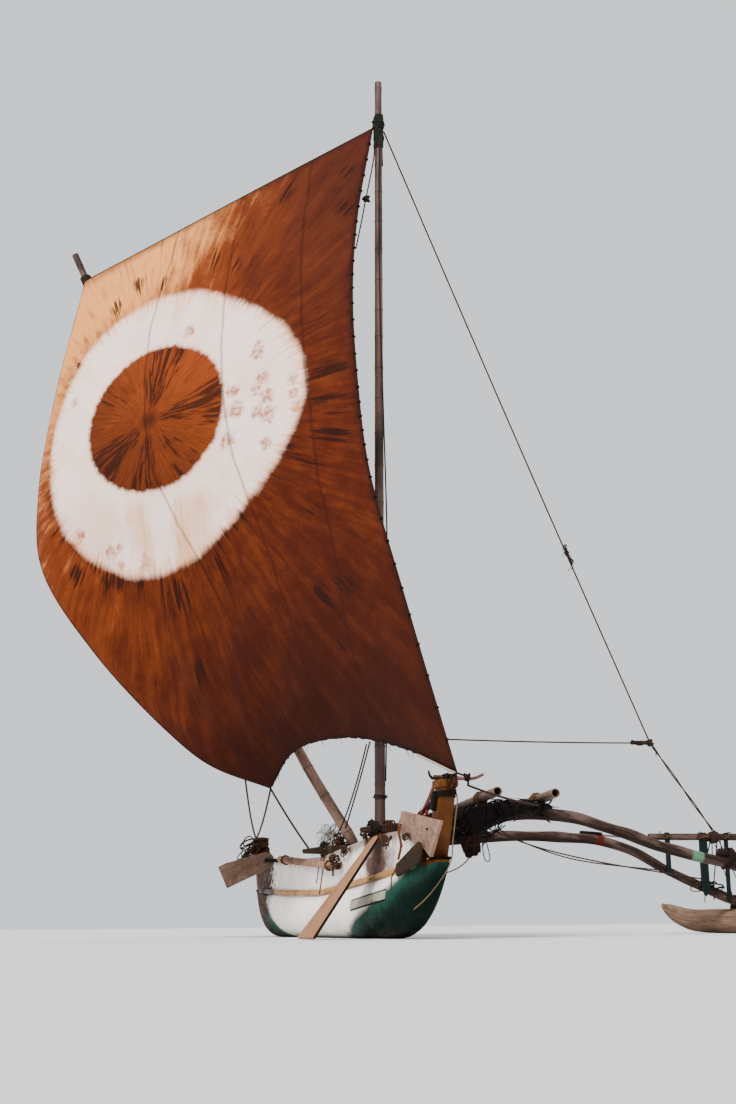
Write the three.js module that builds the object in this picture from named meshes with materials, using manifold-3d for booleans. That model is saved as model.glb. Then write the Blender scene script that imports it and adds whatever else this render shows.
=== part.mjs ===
// A double-ended sailing outrigger canoe, drawn up level on its keel and its float, with the sail set.
// Millimetres. +X runs to the fore end, +Y to the outrigger, +Z up. The origin is under the middle of the keel.
import * as THREE from 'three';
import { mergeVertices } from 'three/addons/utils/BufferGeometryUtils.js';
import Module from 'manifold-3d';

const wasm = await Module();
wasm.setup();

// Gap left between two pieces that touch
const SEAT_GAP = 0.4;

// Hull: a hollowed log with plank sides set on its edges
const HULL_HALF_LENGTH = 4525;
const KEEL_STRAIGHT_HALF = 2700;
const KEEL_HALF_WIDTH = 50;
const KEEL_RISE_POWER = 2.2;
const END_DEPTH = 60;
const SHEER_LOW_X = 175;
const SHEER_POWER = 1.5;
const FORE_RUN = 4200;
const AFT_RUN = 4900;
const DUGOUT_EDGE = { low: 545, fore: 250, aft: 160 };
const GUNWALE = { low: 985, fore: 320, aft: 90 };
const PLAN_POWER = 2.4;
const SIDE_HALF = { end: 75, gain: 150 };
const BULGE_HALF = { end: 60, gain: 300 };
const DUGOUT_WALL = 45;
const DUGOUT_FLOOR = 85;
const LIP_DEPTH = 40;
const HOLLOW_HALF_LENGTH = 3400;
const SIDE_SEAM = 122;
const WASHSTRAKE_THICK = 25;
const WASHSTRAKE_HALF_LENGTH = 4175;
// Columns: name, from, to
const PLANKS = [
  ['aft', -WASHSTRAKE_HALF_LENGTH, -750],
  ['waist', -750, 2300],
  ['fore', 2300, WASHSTRAKE_HALF_LENGTH],
];
// The log is given in lengths too, so that each solid stays nearly straight
const BOTTOM_LENGTHS = [
  ['aft', -HOLLOW_HALF_LENGTH, -KEEL_STRAIGHT_HALF],
  ['waist', -KEEL_STRAIGHT_HALF, KEEL_STRAIGHT_HALF],
  ['fore', KEEL_STRAIGHT_HALF, HOLLOW_HALF_LENGTH],
];
const SIDE_LENGTHS = [
  ['aft', -HOLLOW_HALF_LENGTH, -750],
  ['waist', -750, 2300],
  ['fore', 2300, HOLLOW_HALF_LENGTH],
];
const RUBBING_STRAKE = { thick: 32, below: 34, above: 32, halfLength: 3900 };

// Stemposts, raked outwards over the ends
const STEM_RAKE = 0.45;
const STEM_HALF_WIDTH = 75;
const STEM_DEPTH = 200;
const STEM_FOOT_X = 4200;
const FORE_STEM_TOP = 1470;
const AFT_STEM_TOP = 1330;
const STEM_CAP = { halfWidth: 140, depth: 270, height: 90 };

// Booms and the float
const FORE_BOOM_X = 2545;
const AFT_BOOM_X = 445;
const BOOM_RADIUS = { inboard: 74, outboard: 58 };
const FLOAT_Y = 5400;
const FLOAT_RADIUS = 168;
const FLOAT_ENDS = { aft: -1775, fore: 4765 };
const FLOAT_UPTURN = 220;
const BOOM_SEAT_Z = 2 * FLOAT_RADIUS + BOOM_RADIUS.outboard + 16;
const BOOM_NOTCH = 3;
const BOOM_BEAM = { halfWidth: 56, thick: 60 };
const BOOM_LASHING = { rope: 26, width: 90 };

// Spars and stay
const MAST = { line: [[2175, 5, 1140], [2175, 88, 10650]], heel: 64, tip: 44 };
const SPRIT = {
  line: [[825, 32, 1165], [600, -575, 2246], [160, -1560, 4500], [-405, -2540, 7000], [-885, -3420, 9210]],
  heel: 68,
  tip: 46,
};
const MASTHEAD_LASHING = { z: 10000, width: 400, thick: 30 };
const PEAK_LASHING = { z: 8760, width: 230, thick: 24 };
const STAY_RADIUS = 11;
const STAY_KNOT = new THREE.Vector3(675, 4143, 2451);
const STAY_KNOT_RADIUS = 34;
const CROSS_ROPE_MAST_Z = 2270;
const RAIL = { x: AFT_BOOM_X + 25.6, z: 1245, radius: 45, from: 4150, to: 5800 };
const STAY_FOOT_Y = 5090;
const STAY_FOOT_THICK = 32;

// Sail, given by a few points along each edge
const SAIL_THICK = 4;
const SAIL_BELLY = 420;
const SAIL_ROWS = 16;
const SAIL_COLUMNS = 12;

const UP = new THREE.Vector3(0, 0, 1);
const FORWARD = new THREE.Vector3(1, 0, 0);
const at = (x, y, z) => new THREE.Vector3(x, y, z);

// Lines of the hull
function sheer(x, line) {
  const isFore = x > SHEER_LOW_X;
  const run = isFore ? (x - SHEER_LOW_X) / FORE_RUN : (SHEER_LOW_X - x) / AFT_RUN;
  return line.low + (isFore ? line.fore : line.aft) * Math.pow(run, SHEER_POWER);
}
const planForm = (x) => 1 - Math.pow(Math.abs(x) / HULL_HALF_LENGTH, PLAN_POWER);
const HULL_STATIONS = [
  -4525, -4440, -4330, -4175, -4050, -3900, -3600, -3250, -2700, -2300, -1800, -1300, -750, -310,
  340, 750, 1300, 1800, 2300, 2700, 3250, 3600, 3900, 4050, 4175, 4330, 4440, 4525,
];
// The sides run straight from station to station, and so do these lines, so that seats meet them
const straightBetweenStations = (curve) => (x) => {
  const next = Math.max(1, HULL_STATIONS.findIndex((station) => station >= x));
  const [from, to] = [HULL_STATIONS[next - 1], HULL_STATIONS[next]];
  return THREE.MathUtils.mapLinear(x, from, to, curve(from), curve(to));
};
const dugoutEdge = straightBetweenStations((x) => sheer(x, DUGOUT_EDGE));
const gunwale = straightBetweenStations((x) => sheer(x, GUNWALE));
const sideHalf = straightBetweenStations((x) => SIDE_HALF.end + SIDE_HALF.gain * planForm(x));
const bulgeHalf = (x) => BULGE_HALF.end + BULGE_HALF.gain * planForm(x);
function keelHeight(x) {
  const past = Math.max(0, Math.abs(x) - KEEL_STRAIGHT_HALF) / (HULL_HALF_LENGTH - KEEL_STRAIGHT_HALF);
  const end = dugoutEdge(Math.sign(x) * HULL_HALF_LENGTH) - END_DEPTH;
  return end * Math.pow(past, KEEL_RISE_POWER);
}

// Closed body through rings of points, each ring round the same way, with a fan over each end
function loft(rings) {
  const count = rings[0].length;
  const points = rings.flat();
  const middle = (ring) => ring.reduce((sum, p) => sum.add(p), new THREE.Vector3()).divideScalar(count);
  const first = points.length;
  points.push(middle(rings[0]), middle(rings[rings.length - 1]));
  const index = [];
  for (let i = 0; i < rings.length - 1; i++) {
    for (let j = 0; j < count; j++) {
      const a = i * count + j;
      const b = i * count + (j + 1) % count;
      index.push(a, b, b + count, a, b + count, a + count);
    }
  }
  const last = (rings.length - 1) * count;
  for (let j = 0; j < count; j++) {
    const next = (j + 1) % count;
    index.push(next, j, first);
    index.push(last + j, last + next, first + 1);
  }
  return outward(points, index);
}

// Geometry whose faces point out, whichever way the points were listed
function outward(points, index) {
  let volume = 0;
  for (let i = 0; i < index.length; i += 3) {
    const [a, b, c] = [points[index[i]], points[index[i + 1]], points[index[i + 2]]];
    volume += a.dot(new THREE.Vector3().crossVectors(b, c));
  }
  const order = volume < 0 ? index.slice().reverse() : index;
  const geometry = new THREE.BufferGeometry().setFromPoints(points);
  geometry.setIndex(order);
  geometry.computeVertexNormals();
  return geometry;
}

// Joining and cutting
function solidOf(geometry) {
  const bare = geometry.clone();
  bare.deleteAttribute('normal');
  bare.deleteAttribute('uv');
  const merged = mergeVertices(bare);
  return new wasm.Manifold(new wasm.Mesh({
    numProp: 3,
    vertProperties: new Float32Array(merged.attributes.position.array),
    triVerts: new Uint32Array(merged.index.array),
  }));
}
function geometryOf(solid) {
  const mesh = solid.getMesh();
  const geometry = new THREE.BufferGeometry();
  geometry.setAttribute('position', new THREE.BufferAttribute(new Float32Array(mesh.vertProperties), 3));
  geometry.setIndex(new THREE.BufferAttribute(new Uint32Array(mesh.triVerts), 1));
  geometry.computeVertexNormals();
  return geometry;
}
const cut = (geometry, ...tools) =>
  geometryOf(tools.reduce((solid, tool) => solid.subtract(solidOf(tool)), solidOf(geometry)));
const join = (geometry, ...others) =>
  geometryOf(others.reduce((solid, other) => solid.add(solidOf(other)), solidOf(geometry)));

// Basic forms
function ringAround(centre, along, reference, radius, sides) {
  const v = reference.clone().addScaledVector(along, -reference.dot(along)).normalize();
  const w = new THREE.Vector3().crossVectors(along, v);
  return Array.from({ length: sides }, (_, i) => {
    const turn = (i / sides) * 2 * Math.PI;
    return centre.clone().addScaledVector(v, radius * Math.cos(turn)).addScaledVector(w, radius * Math.sin(turn));
  });
}
function pole(points, startRadius, endRadius, { sides = 12, steps = 1, reference = UP, roundHeel = false } = {}) {
  const path = points.length > 2 ? new THREE.CatmullRomCurve3(points) : new THREE.LineCurve3(...points);
  const rings = [];
  if (roundHeel) {
    const along = path.getTangentAt(0);
    for (const turn of [6, 28, 52, 74]) {
      const angle = THREE.MathUtils.degToRad(turn);
      const centre = points[0].clone().addScaledVector(along, -startRadius * Math.cos(angle));
      rings.push(ringAround(centre, along, reference, startRadius * Math.sin(angle), sides));
    }
  }
  for (let i = 0; i <= steps; i++) {
    const t = i / steps;
    const radius = startRadius + (endRadius - startRadius) * t;
    rings.push(ringAround(path.getPointAt(t), path.getTangentAt(t), reference, radius, sides));
  }
  return loft(rings);
}
function block(low, high) {
  const box = new THREE.BoxGeometry(high.x - low.x, high.y - low.y, high.z - low.z);
  return box.translate((low.x + high.x) / 2, (low.y + high.y) / 2, (low.z + high.z) / 2);
}
// Flat board with its outline in the XZ plane and its thickness centred across Y
function board(outline, thick) {
  const flat = new THREE.ExtrudeGeometry(outline, { depth: thick, bevelEnabled: false, curveSegments: 6 });
  return flat.rotateX(Math.PI / 2).translate(0, thick / 2, 0);
}
// Band of rope turns round a spar
const BAND_SIDES = 16;
function band(centre, along, sparRadius, thick, width) {
  const inner = (sparRadius + SEAT_GAP) / Math.cos(Math.PI / BAND_SIDES);
  const half = width / 2;
  const profile = [
    new THREE.Vector2(inner, -half),
    new THREE.Vector2(inner + thick * 0.7, -half),
    new THREE.Vector2(inner + thick, -half * 0.8),
    new THREE.Vector2(inner + thick, half * 0.8),
    new THREE.Vector2(inner + thick * 0.7, half),
    new THREE.Vector2(inner, half),
    new THREE.Vector2(inner, -half),
  ];
  const ring = new THREE.LatheGeometry(profile, BAND_SIDES);
  const turn = new THREE.Quaternion().setFromUnitVectors(new THREE.Vector3(0, 1, 0), along);
  return outwardLathe(ring.applyQuaternion(turn).translate(centre.x, centre.y, centre.z));
}
// A lathe's last column repeats its first, so its points are merged and its faces turned out
function outwardLathe(geometry) {
  geometry.deleteAttribute('normal');
  geometry.deleteAttribute('uv');
  const merged = mergeVertices(geometry, 1e-3);
  const position = merged.attributes.position;
  const points = Array.from({ length: position.count }, (_, i) => new THREE.Vector3().fromBufferAttribute(position, i));
  return outward(points, Array.from(merged.index.array));
}

// Dugout hull
const ANGLE = (degrees) => THREE.MathUtils.degToRad(degrees);
function dugoutRing(x, inset, floor, top) {
  const keel = keelHeight(x) + floor;
  const edge = dugoutEdge(x);
  const bulge = bulgeHalf(x) - inset;
  const side = sideHalf(x) - inset;
  const keelHalf = Math.min(KEEL_HALF_WIDTH, bulge * 0.6);
  const shoulder = keel + 0.45 * (edge - keel);
  const lip = edge - Math.min(LIP_DEPTH, (edge - keel) * 0.3);
  const half = [[keelHalf, keel]];
  for (const turn of [30, 60, 90]) {
    half.push([
      keelHalf + (bulge - keelHalf) * Math.sin(ANGLE(turn)),
      shoulder - (shoulder - keel) * Math.cos(ANGLE(turn)),
    ]);
  }
  for (const turn of [35, 65, 90]) {
    half.push([side + (bulge - side) * Math.cos(ANGLE(turn)), shoulder + (lip - shoulder) * Math.sin(ANGLE(turn))]);
  }
  half.push([side, edge + top]);
  const right = half.map(([y, z]) => at(x, y, z));
  const left = half.map(([y, z]) => at(x, -y, z)).reverse();
  return [...right, ...left];
}
const insideHollow = (x) => Math.abs(x) < HOLLOW_HALF_LENGTH;
const hollowStations = [-HOLLOW_HALF_LENGTH, ...HULL_STATIONS.filter(insideHollow), HOLLOW_HALF_LENGTH];
function dugoutHull() {
  const outside = loft(HULL_STATIONS.map((x) => dugoutRing(x, 0, 0, 0)));
  const reach = 1 + SEAT_GAP / 2 / HOLLOW_HALF_LENGTH;
  const inside = loft(hollowStations.map((x) => dugoutRing(insideHollow(x) ? x : x * reach, DUGOUT_WALL, DUGOUT_FLOOR, 20)));
  return cut(outside, inside);
}
// The log's solids meet at even seams: its bottom, a side each way, and the ends past the hollow
function dugoutPieces() {
  const [wide, low, high, long] = [600, -100, 1300, 5000];
  const seam = (x) => keelHeight(x) + SIDE_SEAM;
  const rooms = (name, lengths, y0, y1, bottom, top) => lengths.map(([part, from, to]) => {
    const start = insideHollow(from) ? from + SEAT_GAP : from;
    const stations = [start, ...hollowStations.filter((x) => x > from && x < to), to];
    return [`${name}_${part}`, loft(stations.map((x) => [
      at(x, y0, bottom(x)), at(x, y1, bottom(x)), at(x, y1, top(x)), at(x, y0, top(x)),
    ]))];
  });
  const endX = HOLLOW_HALF_LENGTH + SEAT_GAP;
  const whole = solidOf(dugoutHull());
  return [
    ...rooms('dugout_bottom', BOTTOM_LENGTHS, -wide, wide, () => low, (x) => seam(x) - SEAT_GAP),
    ...rooms('dugout_side_lee', SIDE_LENGTHS, -wide, -KEEL_HALF_WIDTH, seam, () => high),
    ...rooms('dugout_side_outrigger', SIDE_LENGTHS, KEEL_HALF_WIDTH, wide, seam, () => high),
    ['dugout_fore_end', block(at(endX, -wide, low), at(long, wide, high))],
    ['dugout_aft_end', block(at(-long, -wide, low), at(-endX, wide, high))],
  ].map(([name, room]) => [name, geometryOf(whole.intersect(solidOf(room)))]);
}

// Plank sides and rubbing strakes follow the hull's own stations, so the seams stay even
function sideRing(x, side, inner, outer, low, high, lean = 0) {
  return [
    at(x, side * inner, low),
    at(x, side * outer, low),
    at(x + lean, side * outer, high),
    at(x + lean, side * inner, high),
  ];
}
function washstrake(side, from, to) {
  const start = from === -WASHSTRAKE_HALF_LENGTH ? from : from + SEAT_GAP;
  const stations = [start, ...HULL_STATIONS.filter((x) => x > from && x < to), to];
  return loft(stations.map((x) => {
    const outer = sideHalf(x);
    const atEnd = Math.abs(x) === WASHSTRAKE_HALF_LENGTH;
    const lean = atEnd ? Math.sign(x) * (gunwale(x) - dugoutEdge(x)) * STEM_RAKE : 0;
    return sideRing(x, side, outer - WASHSTRAKE_THICK, outer, dugoutEdge(x) + SEAT_GAP, gunwale(x), lean);
  }));
}
const strakeOuter = (x) => sideHalf(x) + SEAT_GAP + RUBBING_STRAKE.thick;
function rubbingStrake(side) {
  const stations = HULL_STATIONS.filter((x) => Math.abs(x) <= RUBBING_STRAKE.halfLength);
  return loft(stations.map((x) => sideRing(x, side, sideHalf(x) + SEAT_GAP, strakeOuter(x),
    dugoutEdge(x) - RUBBING_STRAKE.below, dugoutEdge(x) + RUBBING_STRAKE.above)));
}

// Stempost in side view, raked, standing on the dugout's end
function stempost(end, top) {
  const foot = dugoutEdge(end * (STEM_FOOT_X + STEM_DEPTH)) + SEAT_GAP;
  const lean = (top - foot) * STEM_RAKE;
  const outline = new THREE.Shape([
    new THREE.Vector2(end * STEM_FOOT_X, foot),
    new THREE.Vector2(end * (STEM_FOOT_X + STEM_DEPTH), foot),
    new THREE.Vector2(end * (STEM_FOOT_X + STEM_DEPTH + lean), top),
    new THREE.Vector2(end * (STEM_FOOT_X + lean), top),
  ]);
  return board(outline, 2 * STEM_HALF_WIDTH);
}
const stemTopX = (top) => STEM_FOOT_X + STEM_DEPTH / 2 + (top - dugoutEdge(HULL_HALF_LENGTH)) * STEM_RAKE;
function stemCap(end, top) {
  const middle = end * stemTopX(top);
  const ring = (z, half, depth) => [
    at(middle - depth / 2, -half, z),
    at(middle + depth / 2, -half, z),
    at(middle + depth / 2, half, z),
    at(middle - depth / 2, half, z),
  ];
  const { halfWidth, depth, height } = STEM_CAP;
  return loft([
    ring(top + SEAT_GAP, halfWidth * 0.86, depth * 0.88),
    ring(top + height * 0.3, halfWidth, depth),
    ring(top + height * 0.8, halfWidth, depth),
    ring(top + height, halfWidth * 0.9, depth * 0.92),
  ]);
}

// Board across the hull between the plank sides
const THWART_CLEARANCE = 0.8;
function thwart(x, width, bottom, top) {
  const half = (px) => sideHalf(px) - WASHSTRAKE_THICK - THWART_CLEARANCE;
  return loft([x - width / 2, x, x + width / 2].map((px) => [
    at(px, -half(px), bottom),
    at(px, half(px), bottom),
    at(px, half(px), top),
    at(px, -half(px), top),
  ]));
}

// Booms: the path is level where it lies on the gunwales, rises, then bends down to the float
const boomSeat = (x) => gunwale(x) + BOOM_RADIUS.inboard - BOOM_NOTCH;
const gunwaleMiddle = (x) => sideHalf(x) - WASHSTRAKE_THICK / 2;
function foreBoomPath() {
  const x = FORE_BOOM_X;
  const seat = boomSeat(x);
  const rest = gunwaleMiddle(x);
  return [
    at(x, -330, seat - 8), at(x, -rest, seat), at(x, rest, seat), at(x, 900, 1290), at(x, 1720, 1382),
    at(x, 2215, 1340), at(x, 2560, 1252), at(x, 2920, 1152), at(x, 3270, 1031), at(x, 3630, 938),
    at(x, 4280, 785), at(x, 4900, 570),
    at(x, FLOAT_Y, BOOM_SEAT_Z), at(x, FLOAT_Y + 250, BOOM_SEAT_Z - 40),
  ];
}
function aftBoomPath() {
  const x = AFT_BOOM_X;
  const seat = boomSeat(x);
  const rest = gunwaleMiddle(x);
  return [
    at(x, -500, seat - 18), at(x, -rest, seat), at(x, rest, seat), at(x, 1000, 1150), at(x, 1920, 1231),
    at(x, 2930, 1236), at(x, 3474, 1190), at(x, 3877, 1074), at(x, 4391, 818), at(x, 4800, 640),
    at(x, FLOAT_Y, BOOM_SEAT_Z), at(x, FLOAT_Y + 250, BOOM_SEAT_Z - 40),
  ];
}
const BOOM_STEPS = 40;
const boom = (path, extra = 0) =>
  pole(path, BOOM_RADIUS.inboard + extra, BOOM_RADIUS.outboard + extra, { steps: BOOM_STEPS });

// Loop of rope turns round a boom and the beam below it
function boomLashing(x) {
  const top = boomSeat(x) + BOOM_RADIUS.inboard + 2;
  const bottom = gunwale(x) - BOOM_BEAM.thick - 2;
  const half = BOOM_RADIUS.inboard + 2;
  const rounded = (grow) => {
    const shape = new THREE.Shape();
    const [w, low, high, r] = [half + grow, bottom - grow, top + grow, 30 + grow];
    shape.moveTo(-w + r, low).lineTo(w - r, low);
    shape.absarc(w - r, low + r, r, -Math.PI / 2, 0);
    shape.lineTo(w, high - r);
    shape.absarc(w - r, high - r, r, 0, Math.PI / 2);
    shape.lineTo(-w + r, high);
    shape.absarc(-w + r, high - r, r, Math.PI / 2, Math.PI);
    shape.lineTo(-w, low + r);
    shape.absarc(-w + r, low + r, r, Math.PI, 1.5 * Math.PI);
    return shape;
  };
  const loop = cut(board(rounded(BOOM_LASHING.rope), BOOM_LASHING.width), board(rounded(0), BOOM_LASHING.width * 2));
  return loop.translate(x, 0, 0);
}

// Float: a log with turned-up pointed ends and a flat worn along its underside
function floatRing(t) {
  const x = FLOAT_ENDS.aft + (FLOAT_ENDS.fore - FLOAT_ENDS.aft) * t;
  const out = Math.abs(2 * t - 1);
  const radius = FLOAT_RADIUS * Math.sqrt(Math.max(0.06, 1 - Math.pow(out, 5)));
  const centre = FLOAT_RADIUS + FLOAT_UPTURN * Math.pow(Math.max(0, out - 0.6) / 0.4, 2);
  return ringAround(at(x, FLOAT_Y, centre), FORWARD, UP, radius, 12)
    .map((p) => at(p.x, p.y, Math.max(p.z, centre - radius * 0.97)));
}
const FLOAT_TURNS = [0, 0.02, 0.05, 0.1, 0.16, 0.24, 0.34, 0.45, 0.55, 0.66, 0.76, 0.84, 0.9, 0.95, 0.98, 1];
const outriggerFloat = () => loft(FLOAT_TURNS.map(floatRing)).translate(0, 0, -FLOAT_RADIUS * 0.03);
const fatFloat = () => {
  const long = FLOAT_ENDS.fore - FLOAT_ENDS.aft;
  const axis = [at(FLOAT_ENDS.aft + long * 0.25, FLOAT_Y, FLOAT_RADIUS * 0.97),
    at(FLOAT_ENDS.fore - long * 0.25, FLOAT_Y, FLOAT_RADIUS * 0.97)];
  return pole(axis, FLOAT_RADIUS + SEAT_GAP, FLOAT_RADIUS + SEAT_GAP, { sides: 48 });
};

// Rope saddle that ties a boom's end down on the float
function floatLashing(x, boomPath) {
  const low = at(x - 120, FLOAT_Y - 60, FLOAT_RADIUS);
  const high = at(x + 120, FLOAT_Y + 60, BOOM_SEAT_Z + BOOM_RADIUS.outboard + 34);
  return cut(block(low, high), boom(boomPath, SEAT_GAP), fatFloat());
}

// Second log lying on the outer end of the fore boom
const DOUBLER = { from: 3980, to: 5230, radius: 54, steps: 10 };
function boomDoubler(boomPath) {
  const curve = new THREE.CatmullRomCurve3(boomPath);
  const line = [];
  for (let t = 0; t <= 1; t += 1 / BOOM_STEPS) {
    const point = curve.getPointAt(t);
    if (point.y < DOUBLER.from || point.y > DOUBLER.to) continue;
    const away = new THREE.Vector3().crossVectors(FORWARD, curve.getTangentAt(t)).normalize();
    const radius = BOOM_RADIUS.inboard + (BOOM_RADIUS.outboard - BOOM_RADIUS.inboard) * t;
    line.push(point.addScaledVector(away, radius + DOUBLER.radius - 3));
  }
  const log = pole(line, DOUBLER.radius, DOUBLER.radius - 3, { steps: DOUBLER.steps });
  return cut(log, boom(boomPath, SEAT_GAP));
}

// Platform: brushwood and boards on the booms, under two long poles
const PLATFORM_POLE_RADIUS = 55;
const PLATFORM_POLES = {
  inner: [at(3185, 1075, 1575), at(25, 1110, 1400)],
  outer: [at(3185, 1760, 1565), at(25, 1800, 1420)],
};
const platformPole = (line, extra = 0) =>
  pole(line, PLATFORM_POLE_RADIUS + extra, PLATFORM_POLE_RADIUS - 6 + extra, { steps: 4 });
// Section in YZ at the fore end, then how far it shifts and shrinks aft
const BED_SECTION = [
  [700, 1330], [780, 1440], [1200, 1505], [1460, 1530], [1900, 1500], [1950, 1455],
  [1560, 1370], [1220, 1250], [1040, 1170], [930, 1060], [840, 930], [720, 1040],
];
// Columns: x, shift in y, lift in z, share of the section's height kept
const BED_STATIONS = [
  [2895, 0, 0, 0.8], [2755, 20, 0, 1], [2375, 0, -10, 0.9], [1775, 30, -40, 0.6], [1075, 20, -80, 0.45],
  [375, 60, -120, 0.4], [215, 60, -125, 0.3],
];
const BED_TOP = 1530;
function platformBed(booms) {
  const body = loft(BED_STATIONS.map(([x, shift, lift, share]) =>
    BED_SECTION.map(([y, z]) => at(x, y + shift, BED_TOP - (BED_TOP - z) * share + lift))));
  const poles = Object.values(PLATFORM_POLES).map((line) => platformPole(line, 1));
  return cut(body, ...booms.map((path) => boom(path, 1)), ...poles);
}

// Rail: a pole over the aft boom, let into three posts that stand beside both
const POST_THICK = 45;
const POST_NOTCH = 8;
function railPost(y, width, low, high, pointed) {
  const tip = pointed ? low + 110 : low;
  const outline = new THREE.Shape([
    new THREE.Vector2(-width / 2, tip),
    new THREE.Vector2(pointed ? 0 : -width / 2 + 8, low),
    new THREE.Vector2(width / 2, tip),
    new THREE.Vector2(width / 2, high),
    new THREE.Vector2(-width / 2, high),
  ]);
  const plank = board(outline, POST_THICK).rotateZ(Math.PI / 2);
  return plank.translate(RAIL.x + RAIL.radius - POST_NOTCH + POST_THICK / 2, y, 0);
}
const railPole = () => pole([at(RAIL.x, RAIL.from, RAIL.z), at(RAIL.x, RAIL.to, RAIL.z)], RAIL.radius, RAIL.radius);

// Spars, and places on them for what is tied there
const SPAR_STEPS = 16;
const sparPoints = (spar) => spar.line.map((p) => at(...p));
const sparPole = (spar) =>
  pole(sparPoints(spar), spar.heel, spar.tip, { steps: SPAR_STEPS, reference: FORWARD, roundHeel: true });
// The spar's facets run straight between its rings, so a place lies on the straight run that holds its height
function onSpar(spar, z) {
  const points = sparPoints(spar);
  const path = points.length > 2 ? new THREE.CatmullRomCurve3(points) : new THREE.LineCurve3(...points);
  const knots = Array.from({ length: SPAR_STEPS + 1 }, (_, i) => path.getPointAt(i / SPAR_STEPS));
  const next = knots.findIndex((knot) => knot.z > z);
  const [low, high] = [knots[next - 1], knots[next]];
  const part = (z - low.z) / (high.z - low.z);
  return {
    point: low.clone().lerp(high, part),
    direction: high.clone().sub(low).normalize(),
    radius: spar.heel + (spar.tip - spar.heel) * ((next - 1 + part) / SPAR_STEPS),
  };
}
function sparBand(spar, lashing) {
  const low = onSpar(spar, lashing.z - lashing.width / 2);
  const { point, direction } = onSpar(spar, lashing.z);
  return band(point, direction, low.radius, lashing.thick, lashing.width);
}

// Main stay with the cross rope that hauls it towards the mast
function mainStay() {
  const mast = onSpar(MAST, MASTHEAD_LASHING.z);
  const reach = mast.radius + MASTHEAD_LASHING.thick + STAY_RADIUS + SEAT_GAP;
  const out = STAY_KNOT.clone().sub(mast.point).setZ(0).normalize();
  const top = mast.point.clone().addScaledVector(out, reach);
  const foot = at(RAIL.x, STAY_FOOT_Y, RAIL.z + RAIL.radius + STAY_FOOT_THICK + STAY_RADIUS * 0.8);
  const cross = onSpar(MAST, CROSS_ROPE_MAST_Z);
  const toKnot = STAY_KNOT.clone().sub(cross.point).setZ(0).normalize();
  const crossEnd = cross.point.clone().addScaledVector(toKnot, cross.radius + SEAT_GAP);
  const rope = (a, b) => pole([a, b], STAY_RADIUS, STAY_RADIUS, { sides: 8, steps: 4, reference: FORWARD });
  const knot = new THREE.SphereGeometry(STAY_KNOT_RADIUS, 10, 8).translate(...STAY_KNOT.toArray());
  return join(rope(top, STAY_KNOT), rope(STAY_KNOT, foot), rope(STAY_KNOT, crossEnd), knot);
}

// Sail: its throat and peak lie against the lashings, and each edge has a few points between its corners
// The lashing's flats lie a little inside its round, more at some turns than at others
function besideBand(spar, lashing, towards, clearance) {
  const low = onSpar(spar, lashing.z - lashing.width / 2);
  const outer = (low.radius + SEAT_GAP) / Math.cos(Math.PI / BAND_SIDES) + lashing.thick;
  const { point, direction } = onSpar(spar, lashing.z);
  const flat = towards.clone().addScaledVector(direction, -towards.dot(direction)).normalize();
  return point.addScaledVector(flat, outer + clearance).toArray();
}
const THROAT = besideBand(MAST, MASTHEAD_LASHING, at(-0.1, -0.99, 0), 0.4);
const PEAK = besideBand(SPRIT, PEAK_LASHING, at(0.85, -0.5, 0), 1.8);
const TACK = [4495, 160, 1640];
const CLEW = [475, -910, 1800];
const SAIL_EDGES = {
  head: [THROAT, [965, -1330, 9520], [-175, -2670, 9000], PEAK],
  luff: [THROAT, [2475, -290, 8610], [2745, -430, 7490], [3075, -460, 6190], [3375, -420, 5110],
    [3835, -170, 3590], TACK],
  leech: [PEAK, [-715, -3640, 7040], [-625, -3810, 5610], [-515, -3730, 4650], [-295, -3060, 3560],
    [65, -1980, 2500], CLEW],
  foot: [TACK, [3345, -80, 2010], [2295, -420, 2230], [1325, -790, 2180], CLEW],
};
const BELLY_DIRECTION = at(-0.25, -0.96, 0.05).normalize();
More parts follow.
